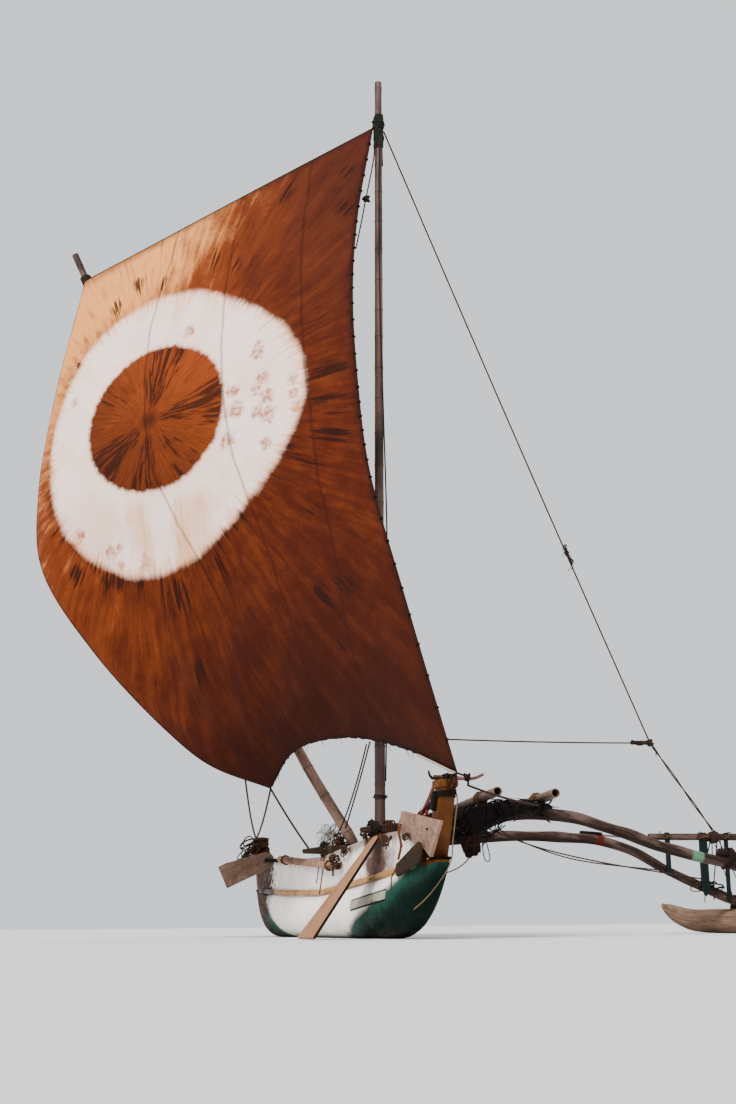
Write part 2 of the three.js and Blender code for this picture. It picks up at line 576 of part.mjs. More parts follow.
function sail() {
  const edge = (name) => new THREE.CatmullRomCurve3(SAIL_EDGES[name].map((p) => at(...p)));
  const [head, luff, leech, foot] = ['head', 'luff', 'leech', 'foot'].map(edge);
  // u runs from luff to leech, v from head to foot
  const surface = (u, v) => {
    const between = head.getPoint(u).multiplyScalar(1 - v).addScaledVector(foot.getPoint(u), v);
    between.addScaledVector(luff.getPoint(v), 1 - u).addScaledVector(leech.getPoint(v), u);
    between.addScaledVector(head.getPoint(0), -(1 - u) * (1 - v)).addScaledVector(head.getPoint(1), -u * (1 - v));
    between.addScaledVector(foot.getPoint(0), -(1 - u) * v).addScaledVector(foot.getPoint(1), -u * v);
    return between.addScaledVector(BELLY_DIRECTION, SAIL_BELLY * 16 * u * (1 - u) * v * (1 - v));
  };
  const step = 1e-3;
  const points = [];
  for (const face of [0.5, -0.5]) {
    for (let r = 0; r <= SAIL_ROWS; r++) {
      for (let c = 0; c <= SAIL_COLUMNS; c++) {
        const [u, v] = [c / SAIL_COLUMNS, r / SAIL_ROWS];
        const du = surface(Math.min(1, u + step), v).sub(surface(Math.max(0, u - step), v));
        const dv = surface(u, Math.min(1, v + step)).sub(surface(u, Math.max(0, v - step)));
        const normal = new THREE.Vector3().crossVectors(du, dv).normalize();
        points.push(surface(u, v).addScaledVector(normal, face * SAIL_THICK));
      }
    }
  }
  const across = SAIL_COLUMNS + 1;
  const back = across * (SAIL_ROWS + 1);
  const index = [];
  const quad = (a, b, c, d) => index.push(a, b, c, a, c, d);
  for (let r = 0; r < SAIL_ROWS; r++) {
    for (let c = 0; c < SAIL_COLUMNS; c++) {
      const a = r * across + c;
      quad(a, a + across, a + across + 1, a + 1);
      quad(back + a, back + a + 1, back + a + across + 1, back + a + across);
    }
  }
  for (let c = 0; c < SAIL_COLUMNS; c++) {
    const low = SAIL_ROWS * across + c;
    quad(c, c + 1, back + c + 1, back + c);
    quad(low + 1, low, back + low, back + low + 1);
  }
  for (let r = 0; r < SAIL_ROWS; r++) {
    const left = r * across;
    const right = left + SAIL_COLUMNS;
    quad(left + across, left, back + left, back + left + across);
    quad(right, right + across, back + right + across, back + right);
  }
  return outward(points, index);
}

// Leeboard: a plank leaning on the lee side, hung from a becket at its top
const LEEBOARD = {
  x: 2775, pinY: -206, pinZ: 1085, footY: -1000, footZ: 16, thick: 30, abovePin: 8, topWidth: 200, footWidth: 560,
};
const BECKET_RADIUS = 8;
function leeboard() {
  const { pinY, pinZ, footY, footZ, thick, abovePin, topWidth, footWidth } = LEEBOARD;
  const long = Math.hypot(footY - pinY, footZ - pinZ);
  const outline = new THREE.Shape();
  outline.moveTo(-topWidth / 2, abovePin).lineTo(-footWidth / 2, -long);
  outline.lineTo(footWidth / 2, -long).lineTo(topWidth / 2, abovePin).closePath();
  const hole = pole([at(-200, 0, 0), at(200, 0, 0)], BECKET_RADIUS + 0.8, BECKET_RADIUS + 0.8);
  const lean = Math.atan2(footY - pinY, pinZ - footZ);
  return cut(board(outline, thick), hole).rotateX(lean);
}
function leeboardBecket() {
  const { x, pinY, pinZ, topWidth } = LEEBOARD;
  const ear = topWidth / 2 + 14;
  const bar = pole([at(x - ear - BECKET_RADIUS, pinY, pinZ), at(x + ear + BECKET_RADIUS, pinY, pinZ)],
    BECKET_RADIUS, BECKET_RADIUS);
  const arm = (px) => pole([at(px, -sideHalf(px) - THWART_CLEARANCE, pinZ), at(px, pinY, pinZ)],
    BECKET_RADIUS, BECKET_RADIUS);
  return join(bar, arm(x - ear), arm(x + ear));
}

// Fore steering board, hung on a pin beside the fore stempost, blade forward
const FORE_BOARD = { x: 4425, y: -120, z: 1080, yaw: 0.0526, thick: 35, pinRadius: 12 };
// Outline from the pin, X forward and Z up: handle, then along the lower edge to the blade
const FORE_BOARD_OUTLINE = [
  [-900, 30], [-620, -60], [-400, -120], [-120, -190], [50, -275], [354, 60], [-200, 150], [-780, 235], [-850, 120],
];
function foreSteeringBoard() {
  const outline = new THREE.Shape(FORE_BOARD_OUTLINE.map(([x, z]) => new THREE.Vector2(x, z)));
  const bore = FORE_BOARD.pinRadius + 0.8;
  return cut(board(outline, FORE_BOARD.thick), pole([at(0, -60, 0), at(0, 60, 0)], bore, bore));
}
function foreBoardPin() {
  const { y, yaw, pinRadius } = FORE_BOARD;
  const toPost = (-STEM_HALF_WIDTH - y) / Math.cos(yaw) - pinRadius * Math.sin(yaw) - SEAT_GAP;
  return pole([at(0, toPost, 0), at(0, -36, 0)], pinRadius, pinRadius);
}

// Spare paddle board lying against the lee rubbing strake
const SPARE_BOARD = { x: 3985, z: 800, halfLength: 560, halfWidth: 120, thick: 25, tilt: 0.2 };
function spareBoard() {
  const { halfLength, halfWidth, thick, tilt } = SPARE_BOARD;
  const outline = new THREE.Shape();
  const straight = halfLength - halfWidth;
  outline.moveTo(-straight, -halfWidth * 0.7).lineTo(straight, -halfWidth);
  outline.absarc(straight, 0, halfWidth, -Math.PI / 2, Math.PI / 2);
  outline.lineTo(-straight, halfWidth * 0.7);
  outline.absarc(-straight, 0, halfWidth * 0.7, Math.PI / 2, 1.5 * Math.PI);
  return board(outline, thick).rotateY(-tilt);
}

// Aft steering board, hung from the outer end of a bar across the gunwales, blade out to the lee
const AFT_BOARD = { x: -2565, y: -330, thick: 34, tilt: 0.35, pinRadius: 12 };
const AFT_BAR = { x: -2510, radius: 30, inner: 260 };
const aftBarZ = gunwale(AFT_BAR.x) + AFT_BAR.radius + SEAT_GAP;
// Outline from the pin, outboard then across, before the board is tilted down
function aftSteeringBoard() {
  const outline = new THREE.Shape();
  outline.moveTo(0, -118).lineTo(650, -168).lineTo(672, 150).lineTo(560, 165).lineTo(0, 118);
  outline.absarc(0, 0, 118, Math.PI / 2, 1.5 * Math.PI);
  const bore = AFT_BOARD.pinRadius + 0.8;
  const flat = cut(board(outline, AFT_BOARD.thick), pole([at(0, -60, 0), at(0, 60, 0)], bore, bore));
  return flat.rotateZ(-Math.PI / 2).rotateX(AFT_BOARD.tilt);
}
function aftOarBar() {
  const bar = pole([at(AFT_BAR.x, AFT_BAR.inner, aftBarZ), at(AFT_BAR.x, AFT_BOARD.y - 28, aftBarZ)],
    AFT_BAR.radius, AFT_BAR.radius - 2);
  const pin = pole([at(AFT_BAR.x, AFT_BOARD.y, aftBarZ), at(AFT_BOARD.x - 34, AFT_BOARD.y, aftBarZ)],
    AFT_BOARD.pinRadius, AFT_BOARD.pinRadius);
  return join(bar, pin);
}

// Spare pole lying along the lee plank side
const SPARE_POLE = { radius: 43, from: [-1875, 1040], to: [1305, 830] };
function sparePole() {
  const y = -(sideHalf(0) + SPARE_POLE.radius + SEAT_GAP);
  const [[x0, z0], [x1, z1]] = [SPARE_POLE.from, SPARE_POLE.to];
  return pole([at(x0, y, z0), at(x1, y, z1)], SPARE_POLE.radius, SPARE_POLE.radius, { steps: 4 });
}

// Stick tied across the fore stem's cap, that the sail's tack is made fast to
function tackStick() {
  const x = stemTopX(FORE_STEM_TOP) - 30;
  const radius = 22;
  const z = FORE_STEM_TOP + STEM_CAP.height + radius + SEAT_GAP;
  return pole([at(x, -110, z), at(x, 120, z), at(x + 10, 290, z + 12), at(x + 4, 420, z + 6)], radius, radius - 6,
    { sides: 8, steps: 8 });
}

// Colours and finishes
const finish = (color, roughness, metalness = 0) => new THREE.MeshStandardMaterial({ color, roughness, metalness });
const MATERIALS = {
  whitePaint: finish(0xd9d6cd, 0.6),
  greenPaint: finish(0x2c5a4a, 0.6),
  yellowPaint: finish(0xb9862f, 0.6),
  darkLog: finish(0x5b4036, 0.8),
  bamboo: finish(0x8a7560, 0.6),
  greyWood: finish(0x9a8f86, 0.85),
  darkWood: finish(0x3d332d, 0.85),
  rope: finish(0x8f7a5c, 0.9),
  driftwood: finish(0xb5aa9a, 0.9),
  sailCloth: finish(0xa04f22, 0.85),
};

const canoe = new THREE.Group();
function add(name, geometry, material, position) {
  const mesh = new THREE.Mesh(geometry, MATERIALS[material]);
  mesh.name = name;
  if (position) mesh.position.copy(position);
  canoe.add(mesh);
  return mesh;
}

// Hull and its planks, the sides notched for the booms
const BOOMS = [['fore', FORE_BOOM_X, foreBoomPath()], ['aft', AFT_BOOM_X, aftBoomPath()]];
const boomRoom = BOOMS.map(([, , path]) => boom(path, SEAT_GAP));
for (const [name, geometry] of dugoutPieces()) add(name, geometry, 'whitePaint');
for (const [name, side] of [['lee', -1], ['outrigger', 1]]) {
  for (const [plank, from, to] of PLANKS) {
    add(`washstrake_${name}_${plank}`, cut(washstrake(side, from, to), ...boomRoom), 'whitePaint');
  }
  add(`rubbing_strake_${name}`, rubbingStrake(side), 'yellowPaint');
}
for (const [name, end, top] of [['fore', 1, FORE_STEM_TOP], ['aft', -1, AFT_STEM_TOP]]) {
  add(`${name}_stempost`, stempost(end, top), 'yellowPaint');
  add(`${name}_stem_cap`, stemCap(end, top), 'yellowPaint');
}
// Columns: name, x, width along the hull, drop of the top below the gunwale, thickness
const THWARTS = [
  ['fore_thwart', 3400, 180, 60, 40],
  ['waist_thwart', -900, 190, 70, 40],
  ['aft_thwart', -3400, 180, 50, 40],
];
for (const [name, x, width, drop, thick] of THWARTS) {
  const top = gunwale(x) - drop;
  add(name, thwart(x, width, top - thick, top), 'greyWood');
}
const [mastX, , mastZ] = MAST.line[0];
const mastStepTop = mastZ - MAST.heel - SEAT_GAP;
add('mast_step', thwart(mastX, 230, mastStepTop - 55, mastStepTop), 'darkWood');
const [spritX, , spritZ] = SPRIT.line[0];
const spritStep = block(at(spritX - 110, -250, gunwale(spritX + 110) + SEAT_GAP),
  at(spritX + 110, 250, spritZ - SPRIT.heel - SEAT_GAP));
add('sprit_step', spritStep, 'darkWood');

// Booms, float and what ties them
for (const [name, x, path] of BOOMS) {
  add(`${name}_boom`, boom(path), 'darkLog');
  const half = BOOM_BEAM.halfWidth;
  const beamTop = gunwale(x);
  const beam = thwart(x, 2 * half, beamTop - BOOM_BEAM.thick, beamTop);
  add(`${name}_boom_beam`, cut(beam, ...boomRoom), 'greyWood');
  add(`${name}_boom_lashing`, boomLashing(x), 'rope');
  add(`${name}_float_lashing`, floatLashing(x, path), 'rope');
}
add('outrigger_float', outriggerFloat(), 'driftwood');
add('fore_boom_doubler', boomDoubler(foreBoomPath()), 'darkLog');

// Platform and rail
add('platform_pole_inner', platformPole(PLATFORM_POLES.inner), 'bamboo');
add('platform_pole_outer', platformPole(PLATFORM_POLES.outer), 'bamboo');
add('platform_bed', platformBed([foreBoomPath(), aftBoomPath()]), 'darkWood');
// Columns: y, width, low end, high end, pointed foot
const RAIL_POSTS = [
  [4391, 60, 740, 1300, false],
  [4905, 110, 480, 1300, true],
  [5240, 50, 400, 1300, false],
];
add('rail', join(railPole(), ...RAIL_POSTS.map((post) => railPost(...post))), 'darkLog');
add('stay_foot_lashing', band(at(RAIL.x, STAY_FOOT_Y, RAIL.z), at(0, 1, 0), RAIL.radius, STAY_FOOT_THICK, 150), 'rope');

// Spars, sail and stay
add('mast', sparPole(MAST), 'bamboo');
add('masthead_lashing', sparBand(MAST, MASTHEAD_LASHING), 'rope');
add('sprit', sparPole(SPRIT), 'bamboo');
add('peak_lashing', sparBand(SPRIT, PEAK_LASHING), 'rope');
add('sail', sail(), 'sailCloth');
add('main_stay', mainStay(), 'rope');
add('tack_stick', tackStick(), 'greyWood');

// Boards on the lee side
add('leeboard', leeboard(), 'greyWood', at(LEEBOARD.x, LEEBOARD.pinY, LEEBOARD.pinZ));
add('leeboard_becket', leeboardBecket(), 'rope');
const foreBoardPlace = at(FORE_BOARD.x, FORE_BOARD.y, FORE_BOARD.z);
add('fore_steering_board', foreSteeringBoard(), 'greyWood', foreBoardPlace).rotation.z = FORE_BOARD.yaw;
add('fore_board_pin', foreBoardPin(), 'darkWood', foreBoardPlace).rotation.z = FORE_BOARD.yaw;
const spareReach = (SPARE_BOARD.halfLength - 0.3 * SPARE_BOARD.halfWidth) * Math.cos(SPARE_BOARD.tilt);
const spareY = -(strakeOuter(SPARE_BOARD.x - spareReach) + SEAT_GAP + SPARE_BOARD.thick / 2);
add('spare_board', spareBoard(), 'darkWood', at(SPARE_BOARD.x, spareY, SPARE_BOARD.z));
add('aft_steering_board', aftSteeringBoard(), 'greyWood', at(AFT_BOARD.x, AFT_BOARD.y, aftBarZ));
add('aft_oar_bar', aftOarBar(), 'greenPaint');
add('spare_pole', sparePole(), 'bamboo');

export default canoe;
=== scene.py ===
"""Dresses the frame of a double-ended sailing outrigger canoe: hull, spars, sail, ropes, outrigger, boards.

Metres, in the frame's own axes: +X runs to the fore end, +Y to the outrigger, +Z up from the ground.
"""

import math
import random

import bmesh
import bpy
from bpy.props import FloatProperty, FloatVectorProperty, IntProperty, PointerProperty
from mathutils import Matrix, Vector, noise
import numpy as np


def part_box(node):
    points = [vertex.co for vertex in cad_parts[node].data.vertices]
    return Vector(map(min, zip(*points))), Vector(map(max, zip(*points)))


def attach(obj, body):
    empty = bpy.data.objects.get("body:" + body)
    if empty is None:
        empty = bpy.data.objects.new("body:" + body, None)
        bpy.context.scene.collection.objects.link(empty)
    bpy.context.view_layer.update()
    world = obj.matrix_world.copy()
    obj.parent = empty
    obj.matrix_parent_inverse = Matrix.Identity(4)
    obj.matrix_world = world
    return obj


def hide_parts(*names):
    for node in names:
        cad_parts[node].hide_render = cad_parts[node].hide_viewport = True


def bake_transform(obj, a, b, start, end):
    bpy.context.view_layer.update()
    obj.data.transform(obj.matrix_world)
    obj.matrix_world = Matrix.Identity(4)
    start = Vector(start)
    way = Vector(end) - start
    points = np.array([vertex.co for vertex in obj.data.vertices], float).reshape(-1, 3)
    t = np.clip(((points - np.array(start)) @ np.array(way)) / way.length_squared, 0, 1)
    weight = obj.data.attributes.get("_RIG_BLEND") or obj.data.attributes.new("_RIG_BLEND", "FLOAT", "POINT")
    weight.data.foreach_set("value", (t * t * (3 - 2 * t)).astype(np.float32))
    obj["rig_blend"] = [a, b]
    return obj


bl_info = {
    "name": "Sailing outrigger canoe",
    "version": (1, 0, 0),
    "blender": (4, 5, 0),
    "location": "View3D > Sidebar > Canoe",
    "description": "Builds the canoe's sail, spars, ropes, hull, outrigger and boards over its frame",
    "category": "Object",
}

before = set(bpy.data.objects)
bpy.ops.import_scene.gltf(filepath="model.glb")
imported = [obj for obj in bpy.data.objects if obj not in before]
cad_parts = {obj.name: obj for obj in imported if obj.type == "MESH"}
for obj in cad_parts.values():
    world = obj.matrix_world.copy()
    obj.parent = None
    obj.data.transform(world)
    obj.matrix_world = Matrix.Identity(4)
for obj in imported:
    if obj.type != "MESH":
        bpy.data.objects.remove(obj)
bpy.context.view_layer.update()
X, Y, Z = (1, 0, 0), (0, 1, 0), (0, 0, 1)


def seen(red, green, blue):
    """Linear values of a paint that looks like this colour in the studio's light."""
    paint = (c ** 1.5 for c in (red, green, blue))
    return tuple(c / 12.92 if c <= 0.04045 else ((c + 0.055) / 1.055) ** 2.4 for c in paint)


def colour_property(name, description, red, green, blue):
    return FloatVectorProperty(
        name=name, description=description, subtype="COLOR", size=3, min=0, max=1,
        default=seen(red, green, blue)
    )


def length_property(name, description, default):
    return FloatProperty(name=name, description=description, default=default, min=0, unit="LENGTH")


# What a user would change
class SailSettings(bpy.types.PropertyGroup):
    belly: length_property("Belly", "How far the sail's middle stands off the plane of its edges", 0.42)
    fold_depth: length_property("Fold depth", "Height of the folds that run into the corners", 0.035)
    ring_wide: length_property("Ring, half width", "Outer half width of the pale ring", 1.996)
    ring_high: length_property("Ring, half height", "Outer half height of the pale ring", 1.869)
    dark_dye: colour_property("Dark dye", "Colour by the luff and the foot", 0.42, 0.18, 0.03)
    mid_dye: colour_property("Middle dye", "Colour of the sail's middle", 0.60, 0.34, 0.14)
    light_dye: colour_property("Light dye", "Colour by the head and the leech", 0.93, 0.70, 0.47)
    pale_dye: colour_property("Pale ring", "Colour of the ring where the dye didn't take", 0.99, 0.92, 0.89)
    black_dye: colour_property("Streaks", "Colour of the tied streaks", 0.27, 0.11, 0.04)


class HullSettings(bpy.types.PropertyGroup):
    white: colour_property("White", "Paint of the hull's sides", 1.0, 0.98, 0.95)
    green: colour_property("Green", "Paint of the hull's ends", 0.25, 0.42, 0.37)
    strake: colour_property("Strake", "Paint of the rubbing strakes", 0.80, 0.65, 0.43)
    ochre: colour_property("Ochre", "Paint of the stemposts", 0.50, 0.33, 0.06)
    wear: FloatProperty(name="Wear", description="Share of the paint that is worn or stained", default=0.5,
                        min=0, max=1)


class SparSettings(bpy.types.PropertyGroup):
    bamboo: colour_property("Bamboo", "Colour of the weathered bamboo", 0.56, 0.46, 0.40)
    bamboo_dark: colour_property("Dark bamboo", "Colour of handled and old bamboo", 0.34, 0.25, 0.20)
    joint_gap: length_property("Joint spacing", "Distance between the bamboo's joints", 0.46)
    log: colour_property("Bark", "Colour of the booms", 0.37, 0.29, 0.245)
    drift: colour_property("Driftwood", "Colour of the float", 0.65, 0.55, 0.47)


class RopeSettings(bpy.types.PropertyGroup):
    stay_radius: length_property("Stay radius", "Radius of the main stay", 0.010)
    line_radius: length_property("Line radius", "Radius of the thin lines", 0.009)
    coir: colour_property("Coir", "Colour of the pale rope", 0.56, 0.44, 0.32)
    stay: colour_property("Stay rope", "Colour of the main stay", 0.38, 0.30, 0.26)
    tarred: colour_property("Old rope", "Colour of the dark rope", 0.21, 0.17, 0.14)
    sea_green: colour_property("Green rope", "Colour of the masthead's rope", 0.30, 0.32, 0.28)


class PlatformSettings(bpy.types.PropertyGroup):
    sticks: IntProperty(name="Sticks", description="Number of sticks in the brushwood", default=240, min=20,
                        max=800)
    # Dark partly for the sticks' own colour and partly as painted shade, for the shade under the platform
    brush: colour_property("Brushwood", "Colour of the sticks", 0.17, 0.11, 0.08)


class BoardSettings(bpy.types.PropertyGroup):
    pale: colour_property("Pale board", "Weathered wood of the steering boards", 0.73, 0.62, 0.55)
    tan: colour_property("Tan board", "Wood of the leeboard", 0.78, 0.62, 0.49)
    dark: colour_property("Dark board", "Old wood of the spare board and the steps", 0.33, 0.25, 0.13)
    grey: colour_property("Grey board", "Weathered wood of the thwarts", 0.55, 0.47, 0.41)
    post: colour_property("Post green", "Paint of the rail's posts and the oar bar", 0.10, 0.20, 0.20)


class StageSettings(bpy.types.PropertyGroup):
    floor: colour_property("Floor", "Colour of the floor", 0.91, 0.905, 0.90)
    sky: colour_property("Sky", "Colour of the light all round", 0.953, 0.966, 0.98)
    sun: FloatProperty(name="Sun", description="Strength of the soft sun", default=4.6, min=0, max=20)


SETTINGS = {
    "canoe_sail": SailSettings,
    "canoe_hull": HullSettings,
    "canoe_spars": SparSettings,
    "canoe_ropes": RopeSettings,
    "canoe_platform": PlatformSettings,
    "canoe_boards": BoardSettings,
    "canoe_stage": StageSettings,
}


def settings(name):
    return getattr(bpy.context.scene, "canoe_" + name)


# Selecting and finishing pieces
def deselect():
    if bpy.context.mode != "OBJECT":
        bpy.ops.object.mode_set(mode="OBJECT")
    bpy.ops.object.select_all(action="DESELECT")


def activate(piece):
    deselect()
    piece.select_set(True)
    bpy.context.view_layer.objects.active = piece


def added(name):
    """The piece that an operator has just added, named."""
    piece = bpy.context.object
    piece.name = piece.data.name = name
    return piece


def placed(name, data):
    """A new object in the scene that shows this data."""
    piece = bpy.data.objects.new(name, data)
    bpy.context.scene.collection.objects.link(piece)
    return piece


def box(node):
    """The two corners of a CAD piece's box."""
    return [Vector(corner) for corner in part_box(node)]


def modify(piece, kind, **values):
    activate(piece)
    bpy.ops.object.modifier_add(type=kind)
    modifier = piece.modifiers[-1]
    for key, value in values.items():
        setattr(modifier, key, value)
    bpy.ops.object.modifier_apply(modifier=modifier.name)


def smooth(piece, degrees=40):
    activate(piece)
    bpy.ops.object.shade_smooth_by_angle(angle=math.radians(degrees))


def dress(piece, material, replaced=(), body="hull"):
    """Gives a finished piece its material and the body it rides on."""
    piece.data.materials.clear()
    piece.data.materials.append(material)
    if body:
        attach(piece, body)
    if replaced:
        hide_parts(*replaced)
    return piece


def join(name, pieces):
    deselect()
    for piece in pieces:
        piece.select_set(True)
    bpy.context.view_layer.objects.active = pieces[0]
    if len(pieces) > 1:
        bpy.ops.object.join()
    joined = bpy.context.view_layer.objects.active
    joined.name = joined.data.name = name
    return joined


# Lines that poles and ropes follow
def spline(points, t):
    """Place at share t of the points' smooth line, which bends as the frame's own lines do."""
    last = len(points) - 1
    if last == 1:
        return points[0].lerp(points[1], t)
    whole = min(int(t * last), last - 1)
    part = t * last - whole
    p1, p2 = points[whole], points[whole + 1]
    p0 = points[whole - 1] if whole else 2 * p1 - p2
    p3 = points[whole + 2] if whole + 2 <= last else 2 * p2 - p1
    d0, d1, d2 = ((b - a).length ** 0.5 for a, b in ((p0, p1), (p1, p2), (p2, p3)))
    m1 = ((p1 - p0) / d0 - (p2 - p0) / (d0 + d1) + (p2 - p1) / d1) * d1
    m2 = ((p2 - p1) / d1 - (p3 - p1) / (d1 + d2) + (p3 - p2) / d2) * d1
    cubic = 2 * p1 - 2 * p2 + m1 + m2
    square = 3 * p2 - 3 * p1 - 2 * m1 - m2
    return p1 + m1 * part + square * part ** 2 + cubic * part ** 3


class Route:
    """A smooth line through points, measured along its length."""

    def __init__(self, points, fine=160):
        points = [Vector(p) for p in points]
        self.places = [spline(points, i / fine) for i in range(fine + 1)]
        self.marks = [0.0]
        for a, b in zip(self.places, self.places[1:]):
            self.marks.append(self.marks[-1] + (b - a).length)
        self.length = self.marks[-1]

    def at(self, distance):
        distance = min(max(distance, 0), self.length)
        low, high = 0, len(self.marks) - 1
        while high - low > 1:
            middle = (low + high) // 2
            low, high = (middle, high) if self.marks[middle] <= distance else (low, middle)
        part = (distance - self.marks[low]) / (self.marks[high] - self.marks[low])
        return self.places[low].lerp(self.places[high], part)

    def even(self, count):
        return [self.at(self.length * i / (count - 1)) for i in range(count)]


def frames(places, reference=None):
    """Direction and two cross directions at each place, turning as little as they can."""
    last = len(places) - 1
    found = []
    side = Vector(reference) if reference else None
    for i in range(last + 1):
        along = (places[min(i + 1, last)] - places[max(i - 1, 0)]).normalized()
        if side is None:
            side = Vector(Z) if abs(along.z) < 0.9 else Vector(X)
        side = (side - along * side.dot(along)).normalized()
        found.append((along, side, along.cross(side)))
    return found


def round_ring(centre, side, up, radius, sides, uneven=0.0, seed=0.0):
    ring, grain = [], []
    for j in range(sides):
        turn = 2 * math.pi * j / sides
        c, s = math.cos(turn), math.sin(turn)
        r = radius * (1 + uneven * noise.noise(Vector((c * 1.3, s * 1.3, seed))))
        ring.append(centre + side * (c * r) + up * (s * r))
        grain.append((c * r, s * r))
    return ring, grain


# Making forms
def grow(name, rings, grain=None, joints=None):
    """A closed form grown from a filled circle, whose face is extruded and set to one ring after another."""
    deselect()
    bpy.ops.mesh.primitive_circle_add(vertices=len(rings[0]), radius=0.1, fill_type="NGON",
                                      location=(0, 0, 0))
    piece = added(name)
    bpy.ops.object.mode_set(mode="EDIT")
    mesh = bmesh.from_edit_mesh(piece.data)
    mesh.verts.layers.int.new("order")
    mesh.verts.layers.float_vector.new("grain")
    mesh.verts.layers.float.new("joint")
    order = mesh.verts.layers.int["order"]
    for j, vertex in enumerate(mesh.faces[:][0].verts):
        vertex[order] = j
    bmesh.update_edit_mesh(piece.data)
    for i, ring in enumerate(rings):
        if i:
            bpy.ops.mesh.extrude_region_move()
        mesh = bmesh.from_edit_mesh(piece.data)
        layers = mesh.verts.layers
        order, lay, joint = layers.int["order"], layers.float_vector["grain"], layers.float["joint"]
        for vertex in mesh.verts:
            if vertex.select:
                j = vertex[order]
                vertex.co = ring[j]
                vertex[lay] = Vector(grain[i][j]) if grain else ring[j]
                vertex[joint] = joints[i] if joints else 0.0
    bmesh.update_edit_mesh(piece.data)
    bpy.ops.mesh.select_all(action="SELECT")
    bpy.ops.mesh.normals_make_consistent(inside=False)
    bpy.ops.object.mode_set(mode="OBJECT")
    piece.data.attributes.remove(piece.data.attributes["order"])
    return piece


def pole(name, route, stops, sides=14, uneven=0.0, reference=None, seed=0.0):
    """A pole along a route. A stop is a distance, the radius there, and how much it is a joint of bamboo; 2
    marks the inside of an open end, which the finish paints darker, partly as painted shade.
    """
    places = [route.at(stop[0]) for stop in stops]
    spread = []
    for stop in stops:
        near = [route.at(stop[0] + shift) for shift in (-0.02, 0, 0.02)]
        spread.append(frames(near, spread[-1][1] if spread else reference)[1])
    rings, grains = [], []
    for place, stop, (_, side, up) in zip(places, stops, spread):
        ring, around = round_ring(place, side, up, stop[1], sides, uneven, seed + stop[0] * 2.5)
        rings.append(ring)
        grains.append([(stop[0] + seed, c, s) for c, s in around])
    return grow(name, rings, grains, [stop[2] for stop in stops])


# Columns: distance from a bamboo's joint, swelling there, how dark it is
NODE_SHAPE = ((-0.035, 1.0, 0), (-0.010, 1.035, 0.5), (0, 1.07, 1), (0.012, 1.03, 0.6), (0.035, 1, 0))


def bamboo_stops(length, first, last, gap, seed, hollow=True):
    """Stops of a bamboo pole: a ridge at each joint, a slight waist between, open ends where hollow."""
    chance = random.Random(seed)

    def radius(s):
        return first + (last - first) * s / length

    stops = [(0.0, radius(0), 0.0)]
    place = gap * chance.uniform(0.3, 0.7)
    while place < length - 0.08:
        for shift, swell, joint in NODE_SHAPE:
            stops.append((place + shift, radius(place) * swell, joint))
        step = gap * chance.uniform(0.85, 1.15) * (1 - 0.25 * place / length)
        stops.append((place + step / 2, radius(place) * 0.975, 0))
        place += step
    stops = sorted(s for s in stops if 0 <= s[0] < length - 0.02)
    stops.append((length, radius(length), 0))
    if hollow:
        # Inside an open end the stops carry 2, which the finish paints darker: partly the inner wall's brown,
        # partly painted shade
        stops += [(length - 0.001, radius(length) * 0.80, 0), (length - 0.02, radius(length) * 0.78, 2)]
        stops.append((length - 0.30, radius(length) * 0.70, 2))
        inside = [(0.30, radius(0) * 0.70, 2), (0.02, radius(0) * 0.78, 2), (0.001, radius(0) * 0.80, 0)]
        stops = inside + stops
    return stops


def log_stops(length, radius_at, step=0.12):
    count = max(3, int(length / step))
    return [(length * i / count, radius_at(i / count), 0) for i in range(count + 1)]


def ropes(name, runs, sides=6):
    """One mesh of rope runs. Each run is its places and its radius, or a radius for each place."""
    vertices, faces, grain = [], [], []
    for places, radius in runs:
        places = [Vector(p) for p in places]
        first = len(vertices)
        gone = 0.0
        for i, (place, (_, side, up)) in enumerate(zip(places, frames(places))):
            if i:
                gone += (place - places[i - 1]).length
            here = radius[i] if isinstance(radius, (list, tuple)) else radius
            ring, around = round_ring(place, side, up, here, sides)
            vertices.extend(ring)
            grain.extend((gone, c, s) for c, s in around)
            if i:
                a = first + (i - 1) * sides
                for j in range(sides):
                    k = (j + 1) % sides
                    faces.append((a + j, a + k, a + sides + k, a + sides + j))
        faces.append(tuple(range(first + sides - 1, first - 1, -1)))
        faces.append(tuple(range(len(vertices) - sides, len(vertices))))
    mesh = bpy.data.meshes.new(name)
    mesh.from_pydata(vertices, [], faces)
    lay = mesh.attributes.new("grain", "FLOAT_VECTOR", "POINT")
    lay.data.foreach_set("vector", [value for place in grain for value in place])
    piece = placed(name, mesh)
    activate(piece)
    bpy.ops.object.mode_set(mode="EDIT")
    bpy.ops.mesh.select_all(action="SELECT")
    bpy.ops.mesh.normals_make_consistent(inside=False)
    bpy.ops.object.mode_set(mode="OBJECT")
    bpy.ops.object.shade_smooth()
    return piece


def lash(name, runs, finish, replaced=(), body="hull", sides=6):
    """Rope runs as one finished piece."""
    return dress(ropes(name, runs, sides), finish, replaced, body)


